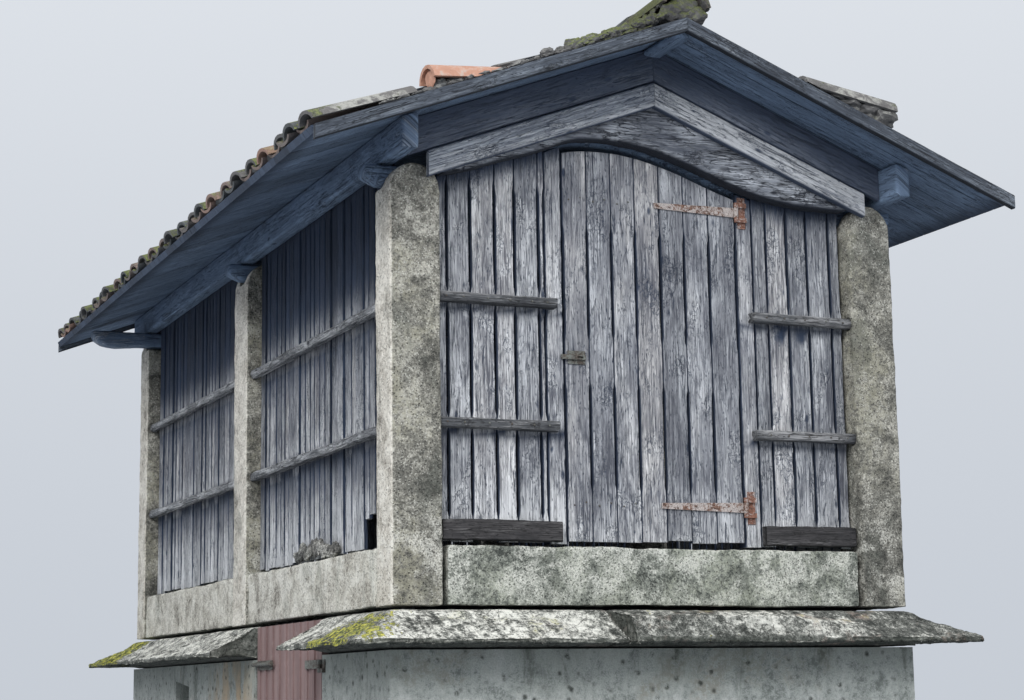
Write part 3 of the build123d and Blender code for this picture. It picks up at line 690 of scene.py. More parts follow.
def side_painted_shade(spot):
    """Painted shade under the eaves and in a band under each rail."""
    shadows = [fading(top - rail_size - spot.z, 0.22, 0.75) for top in side_rail_tops]
    return max(clamped((spot.z - 3.03) / 0.28) * 0.97, *shadows)


def side_bleach(spot):
    """Washed pale on the lower boards and over each rail."""
    washes = [fading(spot.z - top, 0.20, 0.45) for top in side_rail_tops]
    return max(0.52 * (1 - clamped((spot.z - 2.25) / 0.4)), *washes)


for sign, word in ((-1, "left"), (1, "right")):
    walls = Joinery("side_boards_" + word)
    lows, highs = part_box("boards_" + word)
    outer = lows[0] if sign < 0 else highs[0]
    out = Vector((sign, 0, 0))
    across = Vector((0, -sign, 0))
    head = under_deck(outer) - 0.004
    for bay, (near, far) in enumerate(((lows[1], -bay_edge), (bay_edge, highs[1]))):
        spots = board_edges(near, far, 0.074, 71 + bay + sign)
        for seed, (a, b) in enumerate(zip(spots, spots[1:]), 500 * bay + (sign + 1) * 1000):
            low, high = sorted((-sign * a, -sign * b))
            chance = random.Random(seed)
            foot = lows[2] + chance.uniform(0.0, 0.010)
            broken = sign < 0 and -1.68 < 0.5 * (a + b) < -1.53
            if broken:
                foot = 2.315 + chance.uniform(-0.02, 0.012)
            walls.board(
                Vector((outer, 0, 0)) - out * chance.uniform(0.0, 0.009), up, across, out,
                level(foot), level(head),
                slotted(low, high, seed, side_shut, cut=0.0070, ragged=0.0040), thick=0.016,
                seed=seed, tone=chance.random(), step=0.036, shade=side_painted_shade, bleach=side_bleach,
            )
    placed(walls.finished(), "boards_" + word, silver)

# The boarded front on both sides of the doorway, and the posts that the
# door shuts between. The boards run up behind the crooked lintel.
lintel_edge = (
    (-0.900, 3.588), (-0.790, 3.612), (-0.666, 3.656), (-0.479, 3.718), (-0.358, 3.766),
    (-0.200, 3.782), (-0.045, 3.770), (0.134, 3.726), (0.315, 3.664), (0.499, 3.612),
    (0.670, 3.590), (0.900, 3.586),
)


def lintel_height(x):
    """Height of the lintel's lower edge, as one smooth line through its measured points."""
    points = lintel_edge
    index = min(max(sum(1 for point in points if point[0] <= x) - 1, 0), len(points) - 2)
    (xa, za), (xb, zb) = points[index], points[index + 1]
    before = points[max(index - 1, 0)]
    after = points[min(index + 2, len(points) - 1)]
    slope_a = (zb - before[1]) / (xb - before[0])
    slope_b = (after[1] - za) / (after[0] - xa)
    run = xb - xa
    t = clamped((x - xa) / run)
    return (
        za * (2 * t**3 - 3 * t**2 + 1) + zb * (3 * t**2 - 2 * t**3)
        + slope_a * run * (t**3 - 2 * t**2 + t) + slope_b * run * (t**3 - t**2)
    )


def lapped(gap):
    """A board's head that follows the lintel's line."""
    return lambda across: lintel_height(across) + gap


post_runs = ((-0.447, -0.375), (0.408, 0.480))
front_rail_tops = (2.665, 3.144)


def in_doorway(spot):
    """Whether a point lies between the door posts."""
    return post_runs[0][1] < spot.x < post_runs[1][0]


def front_painted_shade_and_spots(spot):
    """Painted shade close under the lintel and under the rails of the panels, and two dark spots
    under the right rail.
    """
    reach, strength = (0.05, 0.5) if in_doorway(spot) else (0.11, 0.85)
    dark = strength * (1 - clamped((lintel_height(spot.x) - spot.z) / reach))
    if not in_doorway(spot):
        for top in front_rail_tops:
            dark = max(dark, fading(top - rail_size - spot.z, 0.05, 0.8))
        for x in (0.603, 0.698):
            gap = math.hypot(spot.x - x, 0.6 * (spot.z - 3.065))
            dark = max(dark, 1 - max(gap - 0.014, 0.0) / 0.022)
    return dark


def front_bleach(spot):
    """Washed pale near the foot, highest up on the door, and a little on the side panels."""
    reach, least = (0.5, 0.02) if in_doorway(spot) else (0.28, 0.26 if spot.x < 0 else 0.19)
    return least + 0.3 * (1 - clamped((spot.z - 2.2) / reach))


east = Vector((1, 0, 0))
south = Vector((0, -1, 0))
face_y = -1.968
whole_length = ((-9.0, 9.0),)
front_shut = ((2.15, 2.29), (2.62, 2.67), (3.09, 3.16), (3.585, 4.0))


def front_board(panel, back, foot, head, sides, thick, seed, **form):
    """An upright board whose face stands back a little from the front's."""
    panel.board(
        Vector((0, face_y + back, 0)), up, east, south, level(foot), head, sides, thick, seed,
        step=0.022, shade=front_painted_shade_and_spots, bleach=front_bleach, **form,
    )


front_walls = Joinery("front_boards")
left_run = (-0.900, -0.858, -0.761, -0.658, -0.575, -0.474, -0.447)
right_run = (0.480, 0.548, 0.645, 0.740, 0.848, 0.900)
for run, first, cut in ((left_run, 4000, 0.0054), (right_run, 4020, 0.0044)):
    for seed, (a, b) in enumerate(zip(run, run[1:]), first):
        chance = random.Random(seed)
        front_board(
            front_walls, chance.uniform(0, 0.004), sill_top + chance.uniform(0, 0.012),
            lapped(0.035), slotted(a, b, seed, front_shut, cut), thick=0.020, seed=seed,
        )
placed(front_walls.finished(), "boards_front", silver)

posts = Joinery("door_post_boards")
for seed, (a, b) in enumerate(post_runs, 4100):
    sides = slotted(a, b, seed, whole_length, cut=0.002, ragged=0.005)
    front_board(
        posts, 0.0, 2.196, lapped(-0.002), sides, thick=0.058, seed=seed, bevel=0.004, tone=0.7,
    )
placed(posts.finished(), "door_posts", silver)

# The rear wall: the same upright boards as the front's on rails of its
# own, across the whole width, because it has no doorway.
north = Vector((0, 1, 0))
west = Vector((-1, 0, 0))
rear_walls = Joinery("rear_boards")
rear_run = board_edges(-0.900, 0.900, 0.085, 5)
for seed, (a, b) in enumerate(zip(rear_run, rear_run[1:]), 4200):
    rear_walls.board(
        Vector((0, -face_y, 0)), up, west, north, level(sill_top),
        lambda across: lintel_height(-across) + 0.035,
        slotted(a, b, seed, front_shut, cut=0.004), thick=0.020, seed=seed,
        shade=front_painted_shade_and_spots, bleach=front_bleach,
    )
placed(rear_walls.finished(), "boards_rear", silver)

# The chamber door: seven upright boards nailed to battens behind, its head
# cut to the lintel's curve. Slots between the battens let the air through.
door_shut = ((2.15, 2.40), (2.82, 2.995), (3.45, 4.0))
door_run = (-0.370, -0.264, -0.158, -0.052, 0.058, 0.167, 0.280, 0.403)
door_tones = (0.75, 0.5, 0.66, 0.9, 0.3, 0.55, 0.45)
door = Joinery("chamber_door_boards")
for index, (a, b) in enumerate(zip(door_run, door_run[1:])):
    seed = 4300 + index
    chance = random.Random(seed)
    front_board(
        door, chance.uniform(0, 0.002), 2.207 + chance.uniform(0, 0.010), lapped(-0.027),
        slotted(a, b, seed, door_shut, cut=0.0050), thick=0.022, seed=seed,
        tone=door_tones[index],
    )
for seed, middle in enumerate((2.352, 3.557), 4350):
    door.board(
        Vector((0, -1.943, middle)), east, up, south, level(-0.309), level(0.342),
        level((-0.044, 0.044)), thick=0.027, seed=seed,
    )
placed(door.finished(), "chamber_door", silver, "chamber_door")

# Rails: riven bars that hold the boards, let into notches in the pillars.
# The front ones stop on the door posts, split and frayed at the ends.
rail_wood = weathered_wood(
    "rail wood", (0.36, 0.36, 0.365), (0.105, 0.11, 0.118), (0.026, 0.028, 0.034),
    (0.010, 0.010, 0.012), (1.05, 0.98, 0.93),
)
side_rail_wood = weathered_wood(
    "side rail wood", (0.62, 0.63, 0.64), (0.26, 0.268, 0.28), (0.06, 0.064, 0.072),
    (0.012, 0.015, 0.022), (1.02, 0.99, 0.95), checked=0.7,
)


def top_bleach(spot):
    """Washed pale on the upper side of a rail."""
    tops = side_rail_tops if abs(spot.x) > 1.0 else front_rail_tops
    return max(0.42 - min(abs(top - spot.z) for top in tops) / 0.03, 0.0)


rail_square = (rail_size, rail_size)
for sign, word in ((-1, "left"), (1, "right")):
    rails = Joinery("side_rails_" + word)
    out = Vector((sign, 0, 0))
    for bay, (near, far) in enumerate(((-1.872, -0.094), (0.094, 1.872))):
        for seed, top in enumerate(side_rail_tops, 4400 + 10 * bay + 40 * (sign + 1)):
            rails.bar(
                Vector((sign * 1.094, 0, top)), north, up, out, near, far, rail_square, seed,
                tone=0.5, bleach=top_bleach, step=0.012, rough=0.009,
            )
    placed(rails.finished(), "rails_" + word, side_rail_wood)

front_rails = Joinery("front_rail_bars")
for side, (near, far, free) in enumerate(((-0.921, -0.416, "end"), (0.449, 0.921, "start"))):
    for seed, top in enumerate(front_rail_tops, 4500 + 10 * side):
        front_rails.bar(
            Vector((0, -2.014, top)), east, up, south, near, far, rail_square, seed,
            tone=0.3, step=0.014, fray=0.05, free=free, bleach=top_bleach,
        )
placed(front_rails.finished(), "rails_front", rail_wood)

rear_rails = Joinery("rear_rail_bars")
for seed, top in enumerate(front_rail_tops, 4600):
    rear_rails.bar(
        Vector((0, 2.014, top)), west, up, north, -0.921, 0.921, rail_square, seed,
        tone=0.3, bleach=top_bleach,
    )
placed(rear_rails.finished(), "rails_rear", rail_wood)

# Kick boards: dark damp boards nailed along the foot of the front panels,
# one on each side of the door, where the rain splashes.


def frayed(low, high, seed, rough, fine):
    """The uneven upper and lower sides of a rough board."""

    def edges(along):
        sides = []
        for side, sign in ((low, 1), (high, -1)):
            wave = noise.noise(Vector((seed * 3.3 + sign, along * 3.5, 0.0)))
            chip = noise.noise(Vector((seed * 7.7 + sign, along * 24.0, 0.0)))
            sides.append(side + sign * (rough * (0.9 + wave) + fine * (1 + chip)))
        return tuple(sides)

    return edges


kick_wood = weathered_wood(
    "damp wood", (0.15, 0.145, 0.145), (0.055, 0.052, 0.054), (0.018, 0.018, 0.02),
    (0.008, 0.008, 0.009), (1.1, 0.95, 0.88),
)
kicks = Joinery("kick_board_pair")
for seed, (near, far) in enumerate(((-0.898, -0.410), (0.482, 0.898)), 4700):
    kicks.board(
        Vector((0, -2.006, sill_top)), east, up, south, level(near), level(far),
        frayed(0.0, 0.089, seed, rough=0.003, fine=0.003), thick=0.036, seed=seed,
        bevel=0.005, tone=0.4,
    )
placed(kicks.finished(), "kick_boards", kick_wood)

# Lintels and tie beams: naturally crooked chestnut, hewn by hand. The
# grain follows the beam, with long drying checks.


def timber(node, name, wear, seed, cell=0.012):
    """A beam squared with an axe: its faces are only a little uneven."""
    return hewn(node, name, wear, seed, smooth=2, broad=0.2, cell=cell)


def grained(piece, axis, seed, tone, shade=nowhere, bleach=nowhere):
    """Give a hewn timber the grain map and the fields that boards have; axis is the way it runs."""
    mesh = piece.data
    layer = mesh.uv_layers.new(name="grain")
    others = [i for i in range(3) if i != axis]
    slip = 1.7 * seed
    for loop in mesh.loops:
        spot = mesh.vertices[loop.vertex_index].co
        around = spot[others[0]] * 0.8 + spot[others[1]]
        layer.data[loop.index].uv = (around + slip, spot[axis] + slip)
    for name, value in (("tone", level(tone)), ("shade", shade), ("bleach", bleach)):
        field = mesh.attributes.new(name, "FLOAT", "POINT")
        field.data.foreach_set("value", [value(vertex.co) for vertex in mesh.vertices])


def beam_end(spot):
    """Pale end grain where the rear tie beam stands out past the pillars."""
    return 0.2 if abs(spot.x) > 1.125 and spot.y > 1.5 else 0.0


def lintel_underside_painted_shade(spot):
    """Painted shade along the lintel's lower edge and on its underside."""
    side = spot.x if spot.y < 0 else -spot.x
    return 0.95 * (1 - clamped((spot.z - lintel_height(side) - 0.004) / 0.016))


shaded_wood = weathered_wood(
    "shaded wood", (0.60, 0.64, 0.70), (0.33, 0.36, 0.41), (0.12, 0.135, 0.17),
    (0.055, 0.076, 0.125),
)
lintel_wood = weathered_wood(
    "crooked lintel wood", (0.57, 0.60, 0.65), (0.275, 0.295, 0.33), (0.085, 0.095, 0.12),
    (0.014, 0.019, 0.032), checked=0.95,
)
for index, beam in enumerate(("lintel_front", "lintel_rear")):
    crooked = timber(beam, beam + "_beam", wear=0.007, seed=51 + index, cell=0.010)
    grained(crooked, axis=0, seed=2 + index, tone=0.45, shade=lintel_underside_painted_shade)
    placed(crooked, beam, lintel_wood)

# The soffit, tie beams, plates and ridge beam: their dark blue-grey is the shade and sky light
# under the roof, painted into the wood's colour.
soffit_shaded_wood = weathered_wood(
    "soffit wood in painted shade", (0.23, 0.32, 0.46), (0.165, 0.235, 0.345), (0.11, 0.155, 0.23),
    (0.045, 0.065, 0.105),
)
ties = timber("tie_beams", "tie_beam_timbers", wear=0.007, seed=55)
grained(ties, axis=0, seed=5, tone=0.6, bleach=beam_end)
placed(ties, "tie_beams", soffit_shaded_wood)

# Gable boards: two to each slope, mitred in the middle under the ridge
# beam. The lower pair has a rounded edge, painted pale along it and on
# the right half as light; the upper pair carries painted shade.
roof_cos = math.cos(roof_pitch)
roof_sin = math.sin(roof_pitch)
gable_apex = 3.935


def raking(joinery, face, y, apex, low, high, near, far, thick, seed, **form):
    """A board on both slopes of the end that faces -Y or Y.

    low and high are upright distances over apex, near and far distances from the middle.
    """
    for sign in (-1, 1):
        joinery.board(
            Vector((0, face * y, apex)), Vector((-sign * roof_cos, 0, roof_sin)),
            Vector((sign * roof_sin, 0, roof_cos)), Vector((0, face, 0)),
            lambda v: (-far + v * roof_sin) / roof_cos, lambda v: (-near + v * roof_sin) / roof_cos,
            frayed(low * roof_cos, high * roof_cos, seed + sign, rough=0.0012, fine=0.0008),
            thick, seed + sign, **form,
        )


def lower_gable_painted_light(spot):
    """Painted light along the lower board's lower edge and over its right half."""
    rise = spot.z - (gable_apex - roof_rise * abs(spot.x))
    pale = 0.42 * (1 - clamped(rise / 0.07))
    return max(pale, 0.50 if spot.x > 0 else 0.15)


def upper_gable_painted_shade(spot):
    """Painted shade all over, deepest close under the deck."""
    return 0.6 + 0.35 * clamped((spot.z - (4.06 - roof_rise * abs(spot.x))) / 0.12)


for face, word in ((-1, "front"), (1, "rear")):
    gable = Joinery("gable_" + word)
    raking(
        gable, face, y=2.070, apex=gable_apex, low=0.0, high=0.104, near=0.001, far=0.968,
        thick=0.030, seed=4800, bevel=0.007, tone=0.35, bleach=lower_gable_painted_light,
    )
    raking(
        gable, face, y=2.062, apex=gable_apex, low=0.106, high=0.250, near=0.001, far=1.046,
        thick=0.022, seed=4810, bevel=0.004, tone=0.3, shade=upper_gable_painted_shade,
    )
    placed(gable.finished(), "gable_boards_" + word, shaded_wood)

# Wall plates and ridge beam: the long timbers that carry the deck, their
# sawn ends standing out under the verge.


def plate_end(spot):
    """Pale sawn ends."""
    return 0.12 if abs(spot.y) > 2.180 else 0.0


plates = timber("wall_plates", "wall_plate_timbers", wear=0.005, seed=57)
grained(plates, axis=1, seed=6, tone=0.7, bleach=plate_end)
placed(plates, "wall_plates", soffit_shaded_wood)
ridge_timber = timber("ridge_beam", "ridge_beam_timber", wear=0.004, seed=58)
grained(ridge_timber, axis=1, seed=7, tone=0.6)
placed(ridge_timber, "ridge_beam", soffit_shaded_wood)

# The roof deck: boards laid down the slope on the plates, seen from below
# as the soffit of the eaves and verges, painted dark blue-grey as shade.


def eave_end_painted_shade(spot):
    """Painted shade on the deck boards' ends along the eaves."""
    return 0.9 if abs(spot.x) > 1.45 else 0.0


for sign, word in ((-1, "left"), (1, "right")):
    deck = Joinery("deck_boards_" + word)
    spots = board_edges(-2.334, 2.334, 0.15, 81 + sign)
    along = Vector((-sign * roof_cos, 0, roof_sin))
    out = Vector((-sign * roof_sin, 0, -roof_cos))
    for seed, (a, b) in enumerate(zip(spots, spots[1:]), 4900 + 100 * (sign + 1)):
        deck.board(
            Vector((0, 0, soffit_apex)), along, north, out, level(-1.508 / roof_cos),
            level(-0.002), slotted(a, b, seed, whole_length, cut=0.0, ragged=0.0012),
            thick=0.029, seed=seed, step=0.12, shade=eave_end_painted_shade,
        )
    placed(deck.finished(), "roof_deck_" + word, soffit_shaded_wood)

# Bargeboards: thin boards nailed over the ends of the deck, meeting in a
# plain mitre under the first ridge tile. Their dark blue-grey is painted
# shade.
barge_shaded_wood = weathered_wood(
    "bargeboard wood in painted shade", (0.17, 0.195, 0.23), (0.07, 0.083, 0.105), (0.03, 0.037, 0.05),
    (0.014, 0.018, 0.026),
)
barge = Joinery("bargeboard_pairs")
for face in (-1, 1):
    raking(
        barge, face, y=2.360, apex=4.157, low=0.0, high=0.060, near=0.001, far=1.509,
        thick=0.026, seed=5000 + face, bevel=0.004, tone=0.7,
    )
placed(barge.finished(), "bargeboards", barge_shaded_wood)

# The chamber's floor: thick planks laid from sill to sill, butted edge to
# edge and grey with age.
floor_planks = Joinery("floor_planks")
spots = board_edges(-1.883, 1.883, 0.21, 9)
for seed, (a, b) in enumerate(zip(spots, spots[1:]), 5100):
    floor_planks.board(
        Vector((0, 0, 2.010)), east, north, up, level(-0.964), level(0.964),
        slotted(a, b, seed, whole_length, cut=0.0, ragged=0.0008), thick=0.059, seed=seed,
        step=0.12,
    )
placed(floor_planks.finished(), "chamber_floor", rail_wood)

# The roof's cover: hand-made barrel tiles, grey with age and lichen. The
# channel tiles lie hollow side up in rows down the slope, and cover tiles
# are turned over the gaps. Most of the front verge's row is lost.
tile_length = 0.430


def barrel_tile(name, width, tail, rise, thick, length=tile_length, hollow_up=False):
    """One tapering tile along its own X, its lower end at the origin."""
    mesh = bmesh.new()
    rows = []
    turns, steps = 8, 3
    for row in range(steps + 1):
        share = row / steps
        half = (width * (1 - share) + tail * share) / 2
        crown = rise * 2 * half / max(width, tail)
        ring = []
        for skin in (0, 1):
            for turn in range(turns + 1):
                angle = math.radians(-82 + 164 * turn / turns)
                reach = half - skin * thick
                height = (crown - skin * thick) * math.cos(angle)
                if hollow_up:
                    height = crown - height
                ring.append(mesh.verts.new((share * length, reach * math.sin(angle), height)))
        rows.append(ring)
    for lower, upper in zip(rows, rows[1:]):
        for skin in (0, turns + 1):
            for turn in range(turns):
                a = skin + turn
                mesh.faces.new((lower[a], lower[a + 1], upper[a + 1], upper[a]))
        for a, b in ((0, turns + 1), (turns, 2 * turns + 1)):
            mesh.faces.new((lower[a], lower[b], upper[b], upper[a]))
    for ring in (rows[0], rows[-1]):
        for a in range(turns):
            b = turns + 1 + a
            mesh.faces.new((ring[a], ring[a + 1], ring[b + 1], ring[b]))
    bmesh.ops.recalc_face_normals(mesh, faces=mesh.faces)
    for face in mesh.faces:
        face.smooth = True
    tile = plain(name, mesh)
    tile.data.set_sharp_from_angle(angle=math.radians(40))
    return tile


class Tree:
    """A geometry tree with named inputs."""

    def __init__(self, name, inputs):
        self.tree = bpy.data.node_groups.new(name, "GeometryNodeTree")
        sockets = self.tree.interface
        sockets.new_socket("Geometry", in_out="INPUT", socket_type="NodeSocketGeometry")
        for word, kind in inputs:
            sockets.new_socket(word, in_out="INPUT", socket_type="NodeSocket" + kind)
        sockets.new_socket("Geometry", in_out="OUTPUT", socket_type="NodeSocketGeometry")
        self.given = self.tree.nodes.new("NodeGroupInput").outputs

    def add(self, kind, settings=None, values=None):
        """Add a node, set it up and return its outputs."""
        node = self.tree.nodes.new(kind)
        for name, value in (settings or {}).items():
            setattr(node, name, value)
        for name, value in (values or {}).items():
            if isinstance(value, bpy.types.NodeSocket):
                self.tree.links.new(value, node.inputs[name])
            else:
                node.inputs[name].default_value = value
        return node.outputs

    def maths(self, operation, first, second, kind="Vector"):
        """The result of one maths node, on vectors unless the kind is empty."""
        settings = {"operation": operation}
        return self.add("ShaderNode" + kind + "Math", settings, {0: first, 1: second})[0]

    def end(self, geometry):
        """Realize what the tree made, give it its finish and put it out."""
        real = self.add("GeometryNodeRealizeInstances", None, {"Geometry": geometry})
        values = {"Geometry": real[0], "Material": self.given["Finish"]}
        coloured = self.add("GeometryNodeSetMaterial", None, values)
        self.tree.links.new(coloured[0], self.tree.nodes.new("NodeGroupOutput").inputs[0])
        return self.tree


def tiling_tree():
    """Lays a tile in courses and columns, each a little out of true."""
    laying = Tree("tile laying", (
        ("Tile", "Object"), ("Finish", "Material"), ("Columns", "Int"), ("Courses", "Int"),
        ("Column run", "Float"), ("Course run", "Float"), ("Start", "Vector"), ("Turn", "Vector"),
        ("Tilt", "Float"), ("Shift", "Float"), ("Seed", "Int"),
    ))
    given, add, maths = laying.given, laying.add, laying.maths
    grid = add("GeometryNodeMeshGrid", None, {
        "Size X": given["Course run"], "Size Y": given["Column run"],
        "Vertices X": given["Courses"], "Vertices Y": given["Columns"],
    })
    half = maths("MULTIPLY", given["Course run"], 0.5, "")
    centre = add("ShaderNodeCombineXYZ", None, {"X": half})
    nudge = add("FunctionNodeRandomValue", {"data_type": "FLOAT_VECTOR"}, {"Seed": given["Seed"]})
    small = maths("SUBTRACT", nudge[0], (0.5, 0.5, 0.0))
    scaled = maths("MULTIPLY", small, (1.0, 0.35, 0.12))
    values = {0: scaled, "Scale": given["Shift"]}
    moved = add("ShaderNodeVectorMath", {"operation": "SCALE"}, values)
    values = {"Geometry": grid["Mesh"], "Offset": maths("ADD", centre[0], moved[0])}
    points = add("GeometryNodeSetPosition", None, values)
    tile = add("GeometryNodeObjectInfo", None, {"Object": given["Tile"]})
    later = maths("ADD", given["Seed"], 7.0, "")
    values = {"Min": -0.036, "Max": 0.036, "Seed": later}
    sway = add("FunctionNodeRandomValue", {"data_type": "FLOAT"}, values)
    values = {"X": sway[1], "Y": given["Tilt"], "Z": sway[1]}
    lean = add("ShaderNodeCombineXYZ", None, values)
    copies = add("GeometryNodeInstanceOnPoints", None, {
        "Points": points[0], "Instance": tile["Geometry"], "Rotation": lean[0],
    })
    hue = add("FunctionNodeRandomValue", {"data_type": "FLOAT"}, {"Seed": given["Seed"]})
    settings = {"data_type": "FLOAT", "domain": "INSTANCE"}
    values = {"Geometry": copies[0], "Name": "tone", "Value": hue[1]}
    toned = add("GeometryNodeStoreNamedAttribute", settings, values)
    turned = add("GeometryNodeTransform", None, {
        "Geometry": toned[0], "Translation": given["Start"], "Rotation": given["Turn"],
    })
    return laying.end(turned[0])


def laid(name, tree, spots=(), **values):
    """The tree's result on some spots as a plain mesh object."""
    data = bpy.data.meshes.new(name)
    data.from_pydata([tuple(spot) for spot in spots], [], [])
    piece = bpy.data.objects.new(name, data)
    bpy.context.scene.collection.objects.link(piece)
    modifier = piece.modifiers.new("laying", "NODES")
    modifier.node_group = tree
    sockets = {item.name: item for item in tree.interface.items_tree if item.in_out == "INPUT"}
    for key, value in values.items():
        modifier[sockets[key.replace("_", " ")].identifier] = value
    return settled(piece)


def joined(name, parts):
    """Several meshes gathered into one piece."""
    gathered = bmesh.new()
    for part in parts:
        gathered.from_mesh(part.data)
    piece = plain(name, gathered)
    for part in parts:
        bpy.data.objects.remove(part)
    return piece


def fired_clay():
    """Old grey clay with lichen and soot, and moss at the front ridge, the verge and the eave."""
    material, place = new_finish("old barrel tiles")
    tone = place.field("tone")
    upward = place.facing(2)
    grit = place.cloud(130, 3, 0.65)
    mottle = place.cloud(24, 6, 0.72, 0.4)
    blotch = place.cloud(3.2, 6, 0.62, 0.4)
    red = tone.between(0.96, 1.04)
    pale = place.near((-1.36, -2.29, 3.73), 0.2) * 0.14 + place.near((0.79, -2.3, 4.0), 0.3) * 0.06
    lichen = (mottle + pale + grit * 0.25).between(0.62, 0.80) * upward.between(-0.35, 0.4)
    soot = blotch.between(0.5, 0.7) * grit.between(0.35, 0.6) * (0.7 - red * 0.4)
    ridge = place.near((0, -2.3, 4.33), 0.50) * 0.22
    verge = place.near((-0.30, -2.34, 4.13), 0.30) * 0.34
    eave = (0 - place.part(0)).between(1.34, 1.48) * 0.12
    growth = (mottle * 0.6 + blotch * 0.5 + ridge + verge + eave).between(0.60, 0.70)
    moss = growth * upward.between(-0.2, 0.45) * (1 - red)
    mossy = grit.ramp((0.35, (0.055, 0.075, 0.02)), (0.65, (0.18, 0.20, 0.055)))
    # Darker around the front end of the ridge.
    darkened = 1 - place.near((0, -2.25, 4.30), 0.5) * 0.4
    colour = tone.ramp(
        (0.2, (0.10, 0.11, 0.115)), (0.6, (0.165, 0.155, 0.15)), (0.9, (0.26, 0.20, 0.175)),
    ).paint((0.50, 0.27, 0.19), red).shaded(mottle * 0.9 + 0.5).coats(
        ((0.44, 0.44, 0.40), lichen * 0.7),
        ((0.022, 0.025, 0.026), soot),
        (mossy, moss * 0.88),
    ).shaded(darkened)
    relief = mottle * 0.8 + grit * 0.35 + moss * 0.8
    return seal(material, colour, 0.93, relief, depth=0.006)


clay = fired_clay()
laying = tiling_tree()
cover = barrel_tile("cover_tile", width=0.158, tail=0.134, rise=0.048, thick=0.013)
channel = barrel_tile(
    "channel_tile", width=0.146, tail=0.176, rise=0.040, thick=0.012, hollow_up=True,
)
high_tile = barrel_tile("high_tile", width=0.150, tail=0.136, rise=0.068, thick=0.014)
deck_apex = soffit_apex + 0.032
verge_row = 2.290
eave_reach = 1.503
columns, courses = 25, 5
column_step = 2 * verge_row / columns
course_step = ((eave_reach - 0.02) / roof_cos - tile_length) / (courses - 1)


def deck_top(x):
    """Height of the deck's upper side at a distance from the middle."""
    return deck_apex - roof_rise * abs(x)


def tiled(name, tile, start, turn, seed, columns=1, courses=1, run=0.0, tilt=0.0, shift=0.0):
    """Tiles laid from a starting point, or one loose tile; run is how far the courses reach."""
    return laid(
        name, laying, Tile=tile, Finish=clay, Columns=columns, Courses=courses,
        Column_run=column_step * (columns - 1), Course_run=run, Start=start, Turn=turn,
        Tilt=tilt, Shift=shift, Seed=seed,
    )


def slope_rows(name, tile, sign, columns, middle, courses, lift, seed):
    """Rows of tiles up one slope: how many, their middle along Y and their courses."""
    normal = Vector((sign * roof_sin, 0, roof_cos))
    start = Vector((sign * eave_reach, middle, deck_top(eave_reach))) + normal * lift
    turn = (0.0, -roof_pitch, math.pi if sign > 0 else 0.0)
    run = course_step * (courses - 1)
    return tiled(name, tile, start, turn, seed, columns, courses, run, tilt=0.022, shift=0.038)


def on_deck(name, parts, sign):
    """Parts joined, with all that would sink below the top of the deck cut away."""
    piece = joined(name, parts)
    mesh = bmesh.new()
    mesh.from_mesh(piece.data)
    geometry = mesh.verts[:] + mesh.edges[:] + mesh.faces[:]
    bmesh.ops.bisect_plane(
        mesh, geom=geometry, plane_co=(0, 0, deck_apex + 0.001),
        plane_no=(sign * roof_sin, 0, roof_cos), clear_inner=True,
    )
    mesh.to_mesh(piece.data)
    mesh.free()
    return piece


def over_deck(x, y, rise):
    """A place at a height over the deck."""
    return (x, y, deck_top(x) + rise)


def drawn(*ranges):
    """A size drawn between two limits along each axis."""
    return tuple(chance.uniform(*limits) for limits in ranges)


red_y = -2.288
red_start = over_deck(-1.057, red_y, 0.040)
red_barrel = tiled("red_barrel", high_tile, red_start, turn=(0.0, -0.105, 0.02), seed=3)
for value in red_barrel.data.attributes["tone"].data:
    value.value = 1.1
stop = (over_deck(-1.044, red_y, 0.050), (0.010, 0.050, 0.044), 0.0)
red_stop = lumpy("red_stop", [stop], seed=6, tone=1.1)
red_bed = lumpy("red_bed", [
    (over_deck(x, -2.312, 0.008), (0.030, 0.030, 0.034 - 0.12 * (x + 1.03)), -0.2)
    for x in (-1.015, -0.965, -0.915, -0.865)
], seed=14, tone=0.3)
red_tile = on_deck("red_tile", [red_barrel, red_stop, red_bed], -1)

chance = random.Random(12)
fragments = []
for index in range(34):
    x = -1.24 + index * 0.033 + chance.uniform(-0.01, 0.01)
    size = drawn((0.012, 0.034), (0.012, 0.026), (0.005, 0.012))
    spot = over_deck(x, chance.uniform(-2.345, -2.315), size[2] * 0.7)
    fragments.append((spot, size, -roof_pitch))
for x, length, height in (
    (-0.585, 0.028, 0.020), (-0.53, 0.02, 0.016), (-0.475, 0.04, 0.026), (-0.40, 0.045, 0.024),
):
    fragments.append((over_deck(x, -2.32, height), (length, 0.026, height), -0.2))
clumps = []
for index in range(22):
    size = drawn((0.02, 0.04), (0.02, 0.034), (0.012, 0.024))
    x, y = -0.50 + index * 0.019, chance.uniform(-2.335, -2.295)
    clumps.append((over_deck(x, y, 0.016 + 0.02 * (index / 22)), size, -0.36))


def slope_tiles(word, sign, seed, stop_seed):
    """One slope's channels and covers, and the mortar and moss that close the covers' ends."""
    middle = column_step / 2
    spots = []
    for index in range(columns):
        y = middle + column_step * (index - (columns - 1) / 2) + chance.uniform(-0.006, 0.006)
        x = sign * (eave_reach - chance.uniform(0.020, 0.045))
        size = drawn((0.018, 0.03), (0.040, 0.056), (0.020, 0.030))
        spots.append((over_deck(x, y, 0.030), size, 0.0))
    return [
        slope_rows(word + "_channels", channel, sign, columns, 0.0, courses, lift=0.002, seed=seed),
        slope_rows(
            word + "_covers", cover, sign, columns, middle, courses, lift=0.016, seed=seed + 5,
        ),
        lumpy(word + "_stops", spots, stop_seed, detail=2, tone=0.3),
    ]


